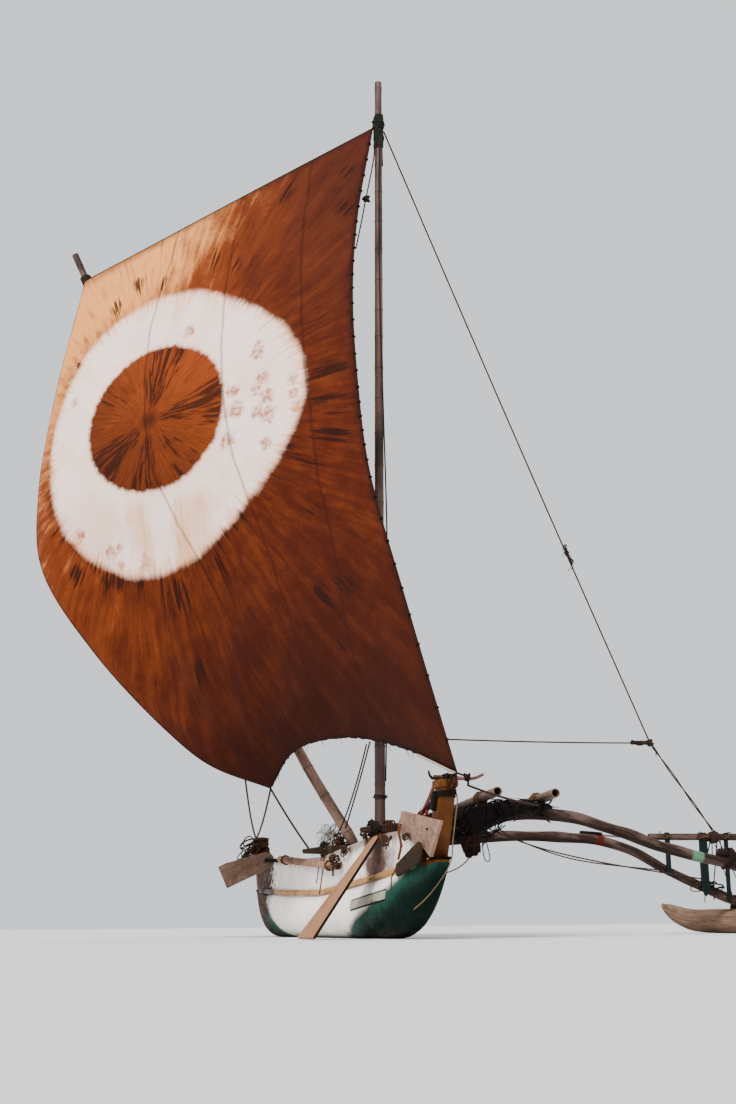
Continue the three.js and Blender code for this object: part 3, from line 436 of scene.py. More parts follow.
def winding(centre, along, radius, width, rope, turns, seed=1, loose=0.15):
    """A rope wound round a pole, its turns a little uneven and one crossing back: its places, its radius."""
    chance = random.Random(seed)
    along = Vector(along).normalized()
    side = along.orthogonal().normalized()
    up = along.cross(side)
    places = []
    each = 14
    lean = chance.uniform(0, 6.28)
    for i in range(turns * each + 1):
        turn = 2 * math.pi * i / each + lean
        shift = width * (i / (turns * each) - 0.5) + rope * loose * chance.uniform(-1, 1)
        shift += rope * 0.9 * math.sin(turn + lean)
        out = radius + rope * (1 + loose * chance.uniform(-0.4, 1.2))
        places.append(Vector(centre) + along * shift + side * (out * math.cos(turn))
                      + up * (out * math.sin(turn)))
    over = radius + rope * 2.7
    back = 9
    for i in range(back + 1):
        turn = lean + 0.6 + 2.2 * math.pi * i / back
        shift = width * (0.5 - i / back)
        places.append(Vector(centre) + along * shift + side * (over * math.cos(turn))
                      + up * (over * math.sin(turn)))
    return places, rope


def box_loop(centre, half_a, half_b, a, b, corner=0.02, lean=0.0):
    """Places of a rope loop laid tightly round a squared piece, given by its half sizes along a and b."""
    centre, a, b = Vector(centre), Vector(a).normalized(), Vector(b).normalized()
    across = a.cross(b)
    places = []
    for p, q, start in ((1, 1, 0), (-1, 1, 90), (-1, -1, 180), (1, -1, 270)):
        for k in range(4):
            turn = math.radians(start + 30 * k)
            place = centre + a * (p * (half_a - corner) + corner * math.cos(turn))
            place += b * (q * (half_b - corner) + corner * math.sin(turn))
            places.append(place + across * (lean * p * q))
    return places + [places[0] + across * 0.004, places[1] + across * 0.004]


def tangle(centre, spread, rope, count, seed):
    """Rope runs of a loose bundle: uneven loops thrown round one place, and ends that hang from it."""
    chance = random.Random(seed)
    runs = []
    for k in range(count):
        middle = Vector(centre) + Vector([chance.uniform(-0.7, 0.7) * w for w in spread])
        thick = rope * chance.uniform(0.6, 1.2)
        if k % 3 == 2:
            fall = spread[2] * chance.uniform(0.8, 2.0)
            aside = Vector([chance.uniform(-0.5, 0.5) * w for w in spread])
            knee = middle + aside + Vector((0, 0, -fall * 0.5))
            end = knee + Vector((aside.y * 0.2, 0, -fall * 0.5))
            runs.append(([middle, middle + aside * 0.6, knee, end], thick))
            continue
        axis = Vector((chance.gauss(0, 1), chance.gauss(0, 1), chance.gauss(0, 0.5))).normalized()
        side = axis.orthogonal().normalized()
        up = axis.cross(side)
        long, short = chance.uniform(0.35, 1.0), chance.uniform(0.15, 0.6)
        places = []
        for i in range(19):
            turn = 2 * math.pi * i / 16
            place = side * (long * math.cos(turn)) + up * (short * math.sin(turn))
            place += axis * (0.3 * math.sin(turn * 1.5))
            places.append(middle + Vector([c * w for c, w in zip(place, spread)]))
        runs.append((places, thick))
    return runs


def stake(name, x, y, half_x, half_y, low, high, point=0.0, seed=0.0):
    """A hewn post along Z with rounded edges and an uneven face; point is how high its sharpened foot is."""
    heights = [low, low + max(point, 0.02)] + [low + (high - low) * i / 9 for i in range(2, 9)]
    heights += [high - 0.015, high]
    corners = ((1, 0.7), (0.7, 1), (-0.7, 1), (-1, 0.7), (-1, -0.7), (-0.7, -1), (0.7, -1), (1, -0.7))
    rings, grains = [], []
    for k, z in enumerate(heights):
        narrow = 0.25 if k == 0 and point else (0.8 if k in (0, len(heights) - 1) else 1.0)
        ring = []
        for p, q in corners:
            wave = 1 + 0.06 * noise.noise(Vector((p, q, z * 5 + seed)))
            wide = half_x * p * wave * max(narrow, 0.8)
            ring.append(Vector((x + wide, y + half_y * q * wave * narrow, z)))
        rings.append(ring)
        grains.append([(z, v.x - x, v.y - y) for v in ring])
    piece = grow(name, rings, grains)
    smooth(piece, 50)
    return piece


def hanging(a, b, sag, count=12):
    """Places of a rope between two points, with its middle a little lower."""
    a, b = Vector(a), Vector(b)
    places = []
    for i in range(count + 1):
        t = i / count
        places.append(a.lerp(b, t) - Vector((0, 0, 4 * sag * t * (1 - t))))
    return places


def copy_of(name, *nodes):
    """A merged copy of CAD nodes as one object at the origin."""
    copies = []
    for node in nodes:
        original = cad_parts[node]
        mesh = original.data.copy()
        mesh.transform(original.matrix_world)
        copies.append(placed(name, mesh))
    piece = join(name, copies)
    activate(piece)
    bpy.ops.object.mode_set(mode="EDIT")
    bpy.ops.mesh.select_all(action="SELECT")
    bpy.ops.mesh.remove_doubles(threshold=0.0001)
    bpy.ops.mesh.dissolve_limited(angle_limit=math.radians(2))
    bpy.ops.object.mode_set(mode="OBJECT")
    return piece


def planed(name, nodes, bevel=0.006, segments=2, angle=30):
    """Copies of CAD boards with their edges worn round."""
    piece = copy_of(name, *nodes)
    modify(piece, "BEVEL", width=bevel, segments=segments, limit_method="ANGLE",
           angle_limit=math.radians(angle), use_clamp_overlap=True)
    smooth(piece, 35)
    return piece


# Materials
class Value:
    """A number or a vector within a material; sums with it add the nodes that work them out."""

    def __init__(self, finish, socket):
        self.finish = finish
        self.socket = socket

    def __add__(self, other):
        return self.finish.math("ADD", self, other)

    def __sub__(self, other):
        return self.finish.math("SUBTRACT", self, other)

    def __rsub__(self, other):
        return self.finish.math("SUBTRACT", other, self)

    def __mul__(self, other):
        return self.finish.math("MULTIPLY", self, other)

    def __truediv__(self, other):
        return self.finish.math("DIVIDE", self, other)

    def __pow__(self, other):
        return self.finish.math("POWER", self, other)

    def __abs__(self):
        return self.finish.math("ABSOLUTE", self)


class Finish:
    """One material: each call adds a node and gives back what comes out of it."""

    def __init__(self, name):
        self.material = bpy.data.materials.new(name)
        self.material.use_nodes = True
        self.tree = self.material.node_tree

    def feed(self, socket, value):
        if isinstance(value, Value):
            self.tree.links.new(value.socket, socket)
        else:
            socket.default_value = value

    def node(self, kind, inputs=None, out=0, **values):
        made = self.tree.nodes.new("ShaderNode" + kind)
        for key, value in values.items():
            setattr(made, key, value)
        for key, value in (inputs or {}).items():
            self.feed(made.inputs[key], value)
        return Value(self, made.outputs[out])

    def place(self):
        return self.node("TexCoord", out="Object")

    def grain(self):
        return self.node("Attribute", out="Vector", attribute_name="grain")

    def uv(self, name):
        return self.node("UVMap", uv_map=name)

    def apart(self, vector):
        parts = self.node("SeparateXYZ", {0: vector}).socket.node.outputs
        return [Value(self, part) for part in parts]

    def together(self, x, y):
        return self.node("CombineXYZ", {0: x, 1: y})

    def vector(self, operation, a, b=(0, 0, 0), out=0):
        return self.node("VectorMath", {0: a, 1: b}, out, operation=operation)

    def length(self, vector):
        return self.vector("LENGTH", vector, out="Value")

    def scaled(self, vector, scale):
        return self.vector("MULTIPLY", vector, scale)

    def turned(self, vector, location=(0, 0, 0), rotation=(0, 0, 0), scale=(1, 1, 1)):
        inputs = {"Vector": vector, "Location": location, "Rotation": rotation, "Scale": scale}
        return self.node("Mapping", inputs, vector_type="TEXTURE")

    def noise(self, vector, scale, detail=5, rough=0.6, warp=0.0):
        inputs = {"Vector": vector, "Scale": scale, "Detail": detail, "Roughness": rough,
                  "Distortion": warp}
        return self.node("TexNoise", inputs)

    def math(self, operation, a, b=0.0):
        return self.node("Math", {0: a, 1: b}, operation=operation)

    def greater(self, a, b):
        return self.math("MAXIMUM", a, b)

    def lesser(self, a, b):
        return self.math("MINIMUM", a, b)

    def band(self, value, low, high, bottom=0.0, top=1.0):
        """Rises smoothly from bottom to top while the value goes from low to high."""
        inputs = {"Value": value, "From Min": low, "From Max": high, "To Min": bottom, "To Max": top}
        return self.node("MapRange", inputs, interpolation_type="SMOOTHSTEP", clamp=True)

    def mix(self, share, a, b):
        a, b = (c if isinstance(c, Value) else (*c, 1) for c in (a, b))
        return self.node("Mix", {0: share, 6: a, 7: b}, out=2, data_type="RGBA", blend_type="MIX")

    def done(self, colour, rough, height=None, depth=0.002, strength=0.6, shine=0.15):
        shader = self.tree.nodes["Principled BSDF"].inputs
        self.feed(shader["Specular IOR Level"], shine)
        self.feed(shader["Base Color"], colour)
        self.feed(shader["Roughness"], rough)
        if height is not None:
            bump = self.node("Bump", {"Height": height, "Distance": depth, "Strength": strength})
            self.feed(shader["Normal"], bump)
        return self.material


def dull(colour, factor):
    return tuple(c * factor for c in colour)


def bamboo_finish(name, light, dark, ends=None):
    """Bamboo: fine streaks along it, a dark line at each joint, and patches of grey and brown.

    A pole with ends is dark up to the first distance along it and clears towards the second.
    """
    f = Finish(name)
    grain = f.grain()
    along, _, _ = f.apart(grain)
    streaks = f.noise(f.scaled(grain, (1.2, 60, 60)), 1.0, 6, 0.65)
    patches = f.noise(f.scaled(grain, (1.1, 4, 4)), 1.0, 4, 0.6)
    colour = f.mix(f.band(streaks, 0.35, 0.65), light, dull(light, 0.72))
    colour = f.mix(f.band(patches, 0.40, 0.68), colour, dark)
    if ends:
        low, high = ends
        colour = f.mix(f.band(along, high, low) * 0.85, colour, dark)
    joint = f.node("Attribute", out="Fac", attribute_name="joint")
    colour = f.mix(f.band(joint, 0.35, 0.95) * 0.5, colour, dull(dark, 0.45))
    # The inside of an open end: a darker copy of the light colour, partly the inner wall's own brown and
    # partly painted shade
    colour = f.mix(f.band(joint, 1.2, 1.9), colour, dull(light, 0.45))
    stain = f.noise(f.scaled(grain, (9, 30, 30)), 1.0, 4)
    colour = f.mix(f.band(stain, 0.58, 0.75, 0, 0.6), colour, dull(dark, 0.6))
    return f.done(colour, f.band(patches, 0.3, 0.7, 0.45, 0.75), streaks, 0.001, 0.5, 0.3)


def log_finish(name, colour, bands=()):
    """Bark and bare wood: long cracks, knots and pale rubbed places, with painted bands along the log."""
    f = Finish(name)
    grain = f.grain()
    along, _, _ = f.apart(grain)
    cracks = f.noise(f.scaled(grain, (2.5, 40, 40)), 1.0, 8, 0.7, 0.6)
    patches = f.noise(f.scaled(grain, (2.0, 9, 9)), 1.0, 5, 0.6)
    fine = f.noise(f.scaled(grain, (20, 60, 60)), 1.0, 4, 0.6)
    rubbed = tuple(min(1, c * 1.9 + 0.02) for c in colour)
    base = f.mix(f.band(cracks, 0.40, 0.62), dull(colour, 0.40), colour)
    base = f.mix(f.band(patches, 0.48, 0.66), base, rubbed)
    base = f.mix(f.band(patches, 0.44, 0.34, 0, 0.7), base, dull(colour, 0.30))
    for low, high, paint in bands:
        inside = f.band(along, low, low + 0.04) * f.band(along, high, high - 0.04)
        base = f.mix(inside * f.band(cracks, 0.30, 0.42), base, paint)
    return f.done(base, f.band(fine, 0.3, 0.7, 0.7, 0.92), cracks + fine * 0.3, 0.008, 0.8)


def lengthwise(f, along, stretch):
    """The piece's coordinates turned to run along a direction, and drawn out along it."""
    euler = Vector(along).to_track_quat("X", "Z").to_euler()
    return f.turned(f.place(), rotation=tuple(euler), scale=(stretch, 1, 1))


def board_finish(name, colour, along=X, dark_share=0.5, stain=None, stretch=10, spots=2.3):
    """A weathered board: grain along its length, cracks, darker knots and stains."""
    f = Finish(name)
    space = lengthwise(f, along, stretch)
    fibres = f.noise(space, 45, 6, 0.65, 0.4)
    rings = f.noise(space, 9, 5, 0.6, 1.2)
    patches = f.noise(f.place(), spots, 6, 0.65)
    base = f.mix(f.band(fibres, 0.35, 0.68), dull(colour, 0.6), colour)
    base = f.mix(f.band(rings, 0.5, 0.7, 0, 0.7), base, dull(colour, 0.5))
    stained = f.band(patches, 0.62 - 0.2 * dark_share, 0.80, 0, 0.75)
    base = f.mix(stained, base, stain or dull(colour, 0.35))
    return f.done(base, f.band(fibres, 0.3, 0.7, 0.65, 0.9), fibres + rings, 0.003, 0.7)


def rope_finish(name, colour, twist=55.0):
    """Laid rope: strands that turn round it, dirt between them and uneven bleaching."""
    f = Finish(name)
    along, y, z = f.apart(f.grain())
    strand = f.math("SINE", f.math("ARCTAN2", z, y) * 3.0 + along * (twist * 3))
    patches = f.noise(f.place(), 5, 4)
    base = f.mix(f.band(strand, -0.9, 0.4), dull(colour, 0.35), colour)
    base = f.mix(f.band(patches, 0.45, 0.7), base, dull(colour, 0.6))
    return f.done(base, 0.9, strand, 0.003, 0.6)


def plain_finish(name, colour, scale=6.0):
    """One colour, cloudy and rough, for what is too thin or too dark to show more."""
    f = Finish(name)
    cloud = f.noise(f.place(), scale, 6, 0.65)
    base = f.mix(f.band(cloud, 0.35, 0.7), colour, dull(colour, 0.6))
    return f.done(base, 0.9, cloud, 0.01, 0.6)


def paint_finish(name, colour, bare, wear=0.5, along=X, bare_aft=None):
    """Old paint on wood: rubbed through to the bare wood in long patches, with dirt in the hollows.

    Aft of bare_aft the paint is gone.
    """
    f = Finish(name)
    space = lengthwise(f, along, 5)
    fibres = f.noise(space, 40, 6, 0.65)
    chips = f.noise(space, 12, 7, 0.7, 0.5)
    cloud = f.noise(f.place(), 3, 5, 0.6)
    base = f.mix(f.band(cloud, 0.35, 0.7), colour, dull(colour, 0.62))
    base = f.mix(f.band(chips, 0.64 - 0.18 * wear, 0.70), base, bare)
    if bare_aft is not None:
        x, _, _ = f.apart(f.place())
        base = f.mix(f.band(x, bare_aft, bare_aft - 0.2), base, dull(bare, 0.5))
    base = f.mix(f.band(fibres, 0.58, 0.75, 0, 0.5), base, dull(bare, 0.5))
    return f.done(base, f.band(chips, 0.4, 0.7, 0.45, 0.85), chips + fibres, 0.002, 0.6)


def drift_finish(colour):
    """Driftwood: pale grey-brown with long open cracks, and darker towards the bottom."""
    f = Finish("driftwood_grain")
    grain = f.grain()
    cracks = f.noise(f.scaled(grain, (1.6, 30, 30)), 1.0, 8, 0.7, 0.5)
    patches = f.noise(f.scaled(grain, (1.2, 6, 6)), 1.0, 5, 0.6)
    _, _, z = f.apart(f.place())
    base = f.mix(f.band(cracks, 0.38, 0.60), dull(colour, 0.4), colour)
    base = f.mix(f.band(patches, 0.5, 0.72, 0, 0.7), base, dull(colour, 0.55))
    base = f.mix(f.band(z, 0.14, 0.02, 0, 0.6), base, dull(colour, 0.35))
    return f.done(base, 0.9, cracks, 0.010, 0.8)


def hull_finish(name, is_log):
    """Painted log and planks: white sides, slanted green ends, brown scuffs, drips and bare wood, with
    painted light and shade on the green, painted shadow under the strake and beside the leeboard, and painted
    shade on the aft end.
    """
    s = settings("hull")
    f = Finish(name)
    place = f.place()
    x, _, z = f.apart(place)
    cloud = f.noise(f.scaled(place, (1, 1, 1.5)), 2.2, 6, 0.6)
    blot = f.noise(f.scaled(place, (2.5, 3, 5)), 3.0, 7, 0.7, 0.8)
    drips = f.noise(f.scaled(place, (14, 14, 1.2)), 1.6, 5, 0.65)
    scratch = f.noise(f.scaled(place, (2, 10, 34)), 2.0, 7, 0.7)
    base = f.mix(f.band(cloud, 0.35, 0.7), s.white, dull(s.white, 0.86))
    base = f.mix(f.band(drips, 0.54, 0.76) * 0.35, base, seen(0.58, 0.42, 0.30))
    if is_log:
        edge = abs(x) - z * 3.26 + (cloud - 0.5) * 0.6
        # The green paint as painted light and shade: a lighter teal by the white as a painted highlight,
        # going near black lower down and towards the ends as painted shade
        green_with_painted_light_and_shade = f.mix(f.band(edge, 1.45, 2.5), dull(s.green, 1.25), dull(s.green, 0.16))
        green_with_painted_light_and_shade = f.mix(f.band(drips, 0.45, 0.75, 0, 0.5), green_with_painted_light_and_shade, dull(s.green, 0.2))
        base = f.mix(f.band(edge, 1.25, 1.60), base, green_with_painted_light_and_shade)
    worn = f.band(blot, 0.68 - 0.1 * s.wear, 0.76) * f.band(scratch, 0.42, 0.6)
    base = f.mix(worn, base, seen(0.44, 0.28, 0.17))
    base = f.mix(f.band(scratch, 0.62, 0.72) * 0.6, base, seen(0.40, 0.30, 0.22))
    if is_log:
        base = f.mix(f.band(z + blot * 0.16, 0.20, 0.07, 0, 0.7), base, seen(0.30, 0.20, 0.13))
        under = z - (abs(x - 0.2) * 0.035 + 0.46)
        shade = f.band(under, -0.02, 0.06) * f.band(x, 3.3, 2.6, 0, 0.45)
        base = f.mix(shade, base, seen(0.50, 0.42, 0.42))
        ledge = f.band(z - (abs(x) * 0.0887 + 0.352), 0.0, 0.008) * f.band(x, 4.08, 4.12)
        base = f.mix(ledge, base, seen(0.48, 0.30, 0.10))
        seam = log_edge(4.2)
        base = f.mix(ledge * f.band(z, seam - 0.012, seam + 0.004), base, seen(0.14, 0.07, 0.04))
    else:
        # A brown-grey patch on the planks by the leeboard: partly a stain, partly the leeboard's shadow
        # painted on
        stained = f.noise(f.scaled(place, (1.2, 1, 2.2)), 2.0, 5, 0.6)
        below = abs(x - 2.70) - stained
        base = f.mix(f.band(below, 0.15, -0.35, 0, 0.95), base, seen(0.46, 0.31, 0.22))
        high = z - abs(x - LOWEST_X) * 0.035 + drips * 0.25
        base = f.mix(f.band(high, 0.98, 1.10, 0, 0.75), base, seen(0.48, 0.33, 0.21))
        base = f.mix(f.band(x, 3.80, 4.10), base, seen(0.36, 0.25, 0.16))
    # Towards the aft end the paint goes to dark brown wood: partly bare weathered wood, partly painted shade
    # under the far steering board
    aft = x * -1.0 + (cloud - 0.5) * 0.8 + (blot - 0.5) * 2.2
    bare = f.mix(f.band(scratch, 0.40, 0.64), seen(0.26, 0.15, 0.09), seen(0.46, 0.31, 0.20))
    base = f.mix(f.band(aft, 2.55, 3.15), base, bare)
    return f.done(base, f.band(blot, 0.4, 0.7, 0.45, 0.8), scratch + blot * 0.6, 0.003, 0.5, 0.02)


# Columns: where a seam between two panels crosses the sail, as a share from luff to leech
SEAMS = (0.463, 0.277, 0.095)
RING_CENTRE = (-1.361, 6.266, 0)
DISC_CENTRE = (-1.491, 6.352, 0)
STREAK_CENTRE = (-1.539, 6.310, 0)
# Columns: place on the cloth, half length towards the ring, half width of a patch of dark strokes
DABS = [
    (-0.02, 9.33, 0.36, 0.16), (0.85, 9.38, 0.20, 0.18), (0.72, 9.10, 0.20, 0.20),
    (0.92, 8.80, 0.20, 0.24), (-0.99, 8.49, 0.26, 0.09), (-0.58, 8.33, 0.24, 0.14),
    (-2.24, 8.46, 0.22, 0.15), (-1.76, 8.38, 0.20, 0.11), (-2.51, 8.16, 0.27, 0.20),
    (-3.00, 7.38, 0.12, 0.12), (0.79, 7.15, 0.34, 0.14), (1.08, 6.49, 0.50, 0.17),
    (1.18, 6.03, 0.50, 0.19), (1.17, 5.66, 0.40, 0.13), (0.86, 5.40, 0.55, 0.10),
    (0.92, 4.80, 0.16, 0.10), (-0.50, 4.30, 0.48, 0.11), (-1.25, 4.10, 0.36, 0.36),
    (-2.18, 4.38, 0.24, 0.34), (-2.74, 4.50, 0.22, 0.22), (0.98, 3.82, 0.26, 0.16),
    (1.38, 3.86, 0.30, 0.18), (1.23, 3.21, 0.20, 0.10), (-1.06, 3.17, 0.22, 0.14),
]
# Columns: place on the cloth, radius of a brown spot on the ring
SPOTS = [
    (-0.31, 6.48, 0.08), (-0.24, 6.23, 0.11), (-0.33, 5.83, 0.11), (-0.01, 6.93, 0.09),
    (0.11, 6.57, 0.09), (0.02, 6.44, 0.07), (0.20, 6.31, 0.10), (0.08, 6.14, 0.08),
    (0.24, 6.07, 0.11), (0.26, 5.70, 0.08), (-0.03, 7.06, 0.06), (-1.14, 7.48, 0.07),
    (-2.90, 6.84, 0.06), (0.56, 6.48, 0.07), (0.60, 6.28, 0.07), (0.66, 6.10, 0.07),
    (-2.58, 4.98, 0.08), (-2.70, 4.87, 0.05), (-2.14, 4.70, 0.08), (-1.99, 4.74, 0.05),
    (-1.63, 4.51, 0.09), (-2.02, 4.53, 0.05),
]
# Columns: direction of a fan of streaks on the disc in degrees, half width, strength
FANS = [(84, 20, 1.0), (7, 18, 1.0), (-48, 13, 0.7), (-88, 15, 0.9), (-143, 20, 1.0), (145, 16, 0.5)]


def seam_bend(v):
    return 0.32 * (v - 0.45) ** 2 + 0.9 * max(0.0, v - 0.45) ** 3


def strokes(f, direction, reach, count, reach_power, detail=5):
    """Brush strokes that run away from a centre, with ends at many places."""
    wide = reach ** reach_power * count
    return f.noise(f.node("VectorMath", {0: direction, 3: wide}, operation="SCALE"), 1.0, detail, 0.6)


def sail_finish():
    """Hand-dyed canvas: a pale tied ring round a brown disc, radial strokes, panels, stains and weave."""
    s = settings("sail")
    f = Finish("dyed_canvas")
    cloth = f.uv("cloth")
    u, v, _ = f.apart(f.uv("panel"))
    a, b, _ = f.apart(cloth)
    dark, mid, light, black = s.dark_dye, s.mid_dye, s.light_dye, s.black_dye
    cloud = f.noise(cloth, 0.7, 5, 0.6, 0.4)
    blot = f.noise(cloth, 2.4, 7, 0.66, 0.3)
    weave = f.noise(cloth, 22, 6, 0.65)

    # The ring, measured from its own centre: nearly an ellipse, with three low lobes
    disc = f.turned(cloth, RING_CENTRE, (0, 0, 0), (s.ring_wide, s.ring_high, 1))
    reach = f.length(disc)
    away = f.vector("NORMALIZE", disc)
    c, n, _ = f.apart(away)
    turn = f.math("ARCTAN2", n, c)
    lobes = f.math("COSINE", turn * 3 - 0.244) * 0.051 + f.math("COSINE", turn * 4) * 0.016
    rounded = reach / (lobes + 0.994)
    brushed = strokes(f, away, reach, 24, 0.16, 7)
    fine = strokes(f, away, reach, 48, 0.07)

    # The field: light by the peak and the head, brown elsewhere, dull by the throat and dark towards the
    # foot, mottled along the strokes. Its fall from light at the upper left to dark below and by the luff is
    # partly the dye and partly painted light and shade.
    dye_tone_and_painted_light = (u * 0.75 + 0.15) * (1.0 - v) ** 1.4
    for part, share in ((cloud, 0.50), (brushed, 0.80), (blot, 0.55), (weave, 0.25)):
        dye_tone_and_painted_light = dye_tone_and_painted_light + (part - 0.5) * share
    dye_tone_and_painted_light = dye_tone_and_painted_light + f.band(v, 0.20, 0.02) * f.band(u, 0.28, 0.55, 0, 0.34)
    field = f.mix(f.band(dye_tone_and_painted_light, -0.10, 0.50), dark, mid)
    field = f.mix(f.band(dye_tone_and_painted_light, 0.36, 0.88), field, light)
    # Painted shade over the dye: darker towards the foot
    field = f.mix(f.band(v, 0.52, 1.05, 0, 0.62), field, seen(0.14, 0.04, 0.01))
    # Painted shade over the dye: darker by the luff towards the throat
    field = f.mix(f.band(u + v * 0.7, 0.50, 0.05, 0, 0.75), field, seen(0.36, 0.17, 0.09))
    field = f.mix(f.band(fine, 0.50, 0.70, 0, 0.35), field, dull(dark, 0.45))
    field = f.mix(f.band(blot, 0.58, 0.72, 0, 0.30), field, dull(dark, 0.6))
    marks = 0.0
    for where_a, where_b, long, wide in DABS:
        aim = math.atan2(where_b - RING_CENTRE[1], where_a - RING_CENTRE[0])
        near = f.turned(cloth, (where_a, where_b, 0), (0, 0, aim), (long, wide, 1))
        marks = f.greater(marks, f.band(f.length(near), 1.5, 0.1))
    fringe = f.band(rounded, 1.22, 1.0) * f.band(n, 0.1, -0.35, 0.05, 0.75)
    marks = f.greater(marks, fringe)
    drawn = f.band(fine + (marks - 1.0) * 0.30, 0.40, 0.52)
    field = f.mix(drawn * f.band(marks, 0.0, 0.6, 0, 0.9), field, black)

    # The ring's stains: brown spots, drips under the disc, tan patches above it and a tan rim
    ring = f.mix(f.band(blot, 0.50, 0.75, 0, 0.30), s.pale_dye, light)
    spots = 9.0
    for where_a, where_b, size in SPOTS:
        gap = f.vector("DISTANCE", cloth, (where_a, where_b, 0), out="Value")
        spots = f.lesser(spots, gap / size)
    ragged = spots + (f.noise(cloth, 9, 6, 0.7) - 0.5) * 3.4
    hollow = f.band(ragged, 1.45, 0.60) * f.band(f.noise(cloth, 16, 3, 0.6), 0.35, 0.62, 0.25, 0.85)
    ring = f.mix(f.band(cloud, 0.42, 0.70, 0, 0.40), ring, seen(0.94, 0.80, 0.70))
    ring = f.mix(hollow, ring, seen(0.76, 0.46, 0.16))
    across, up, _ = f.apart(disc)
    runs = f.noise(f.together(a * 3.0, b * 0.30), 1.0, 5, 0.6)
    column = f.band(abs(a + 1.30), 1.30, 0.40)
    under = column * f.greater(f.band(up, -0.45, -0.62), f.band(up, 0.62, 0.85, 0, 0.6))
    ring = f.mix(under * f.band(runs, 0.42, 0.66, 0.0, 0.85), ring, seen(0.92, 0.74, 0.55))
    ring = f.mix(f.band(rounded + (fine - 0.5) * 0.4, 0.92, 1.0) * 0.55, ring, light)
    ring = f.mix(f.band(fine, 0.60, 0.70, 0, 0.30) * f.band(rounded, 0.55, 0.95), ring, mid)

    # The disc in the middle, with fans of strokes from its own centre and short ones at its rim
    heart = f.turned(cloth, DISC_CENTRE, (0, 0, math.atan2(0.259, -0.966)), (1.065, 0.981, 1))
    heart_reach = f.length(heart)
    from_streaks = f.vector("SUBTRACT", cloth, STREAK_CENTRE)
    far = f.length(from_streaks)
    aimed = f.vector("NORMALIZE", from_streaks)
    bold = strokes(f, aimed, far, 15, 0.10)
    lit = up * 0.7 + across * 0.5 + ((blot - 0.5) * 0.9 + bold)
    inner = f.mix(f.band(lit, 0.15, 0.95), dull(mid, 0.62), dull(mid, 1.20))
    fans = 0.0
    for degrees, half, strength in FANS:
        ray = (math.cos(math.radians(degrees)), math.sin(math.radians(degrees)), 0)
        facing = f.vector("DOT_PRODUCT", aimed, ray, out="Value")
        edges = (math.cos(math.radians(half * share)) for share in (1.5, 0.5))
        fans = f.greater(fans, f.band(facing, *edges, 0, strength))
    rim = f.band(heart_reach, 0.70, 0.95) * f.band(f.noise(cloth, 1.3, 2), 0.45, 0.6, 0.2, 0.75)
    fans = f.greater(fans * f.band(far, 0.02, 0.25), rim)
    hair = strokes(f, aimed, far, 34, 0.08)
    inner = f.mix(f.band(hair, 0.50, 0.66, 0, 0.50), inner, dull(dark, 0.6))
    inner = f.mix(f.band(far, 0.20, 0.02, 0, 0.7), inner, black)
    inked = f.band(bold + (fans - 1.0) * 0.25, 0.41, 0.54)
    inner = f.mix(inked * f.band(fans, 0.0, 0.6, 0, 0.85), inner, black)
    heart_edge = heart_reach + (blot - 0.5) * 0.10 + (bold - 0.5) * 0.10
    ring = f.mix(f.band(heart_edge, 1.09, 0.98, 0, 0.35), ring, light)
    ring = f.mix(f.band(heart_edge, 1.03, 0.96), ring, inner)
    ring_edge = rounded + (blot - 0.5) * 0.10 + (fine - 0.5) * 0.030
    colour = f.mix(f.band(ring_edge, 1.030, 0.965), field, ring)

    # Panel seams, and dirt along the edges
    past = v - 0.45
    lane = u - (past * past * 0.32 + f.greater(past, 0.0) ** 3.0 * 0.9)
    for where in SEAMS:
        colour = f.mix(f.band(abs(lane - where), 0.0045, 0.0015, 0, 0.45), colour, black)
    rim = f.lesser(f.lesser(u, 1.0 - u), f.lesser(v, 1.0 - v))
    colour = f.mix(f.band(rim + (blot - 0.5) * 0.03, 0.016, 0.0, 0, 0.6), colour, black)
    return f.done(colour, 0.9, weave * 0.5 + blot, 0.006, 0.45)


# The sail, given by a few points along each edge
THROAT = Vector((2.167, 0.006, 10.0))
PEAK = Vector((-0.715, -3.285, 8.77))
TACK = Vector((4.495, 0.160, 1.640))
CLEW = Vector((0.475, -0.910, 1.800))
SAIL_EDGES = {
    "head": [THROAT, (0.965, -1.330, 9.520), (-0.175, -2.670, 9.000), PEAK],
    "luff": [THROAT, (2.475, -0.290, 8.610), (2.745, -0.430, 7.490), (3.075, -0.460, 6.190),
             (3.375, -0.420, 5.110), (3.835, -0.170, 3.590), TACK],
    "leech": [PEAK, (-0.715, -3.640, 7.040), (-0.625, -3.810, 5.610), (-0.515, -3.730, 4.650),
              (-0.295, -3.060, 3.560), (0.065, -2.100, 2.480), (0.285, -1.620, 2.080), CLEW],
    "foot": [TACK, (3.345, -0.080, 2.010), (2.295, -0.420, 2.230), (1.325, -0.790, 2.180), CLEW],
}
SAIL_EDGES = {name: [Vector(p) for p in points] for name, points in SAIL_EDGES.items()}
BELLY = Vector((-0.25, -0.96, 0.05)).normalized()
# Columns: corner, reach of its folds, number of folds, height against the set depth
CORNER_FOLDS = [
    (THROAT, 1.5, 15, 0.5),
    (PEAK, 1.3, 13, 0.6),
    (CLEW, 2.4, 11, 1.4),
    (TACK, 1.5, 13, 0.7),
]


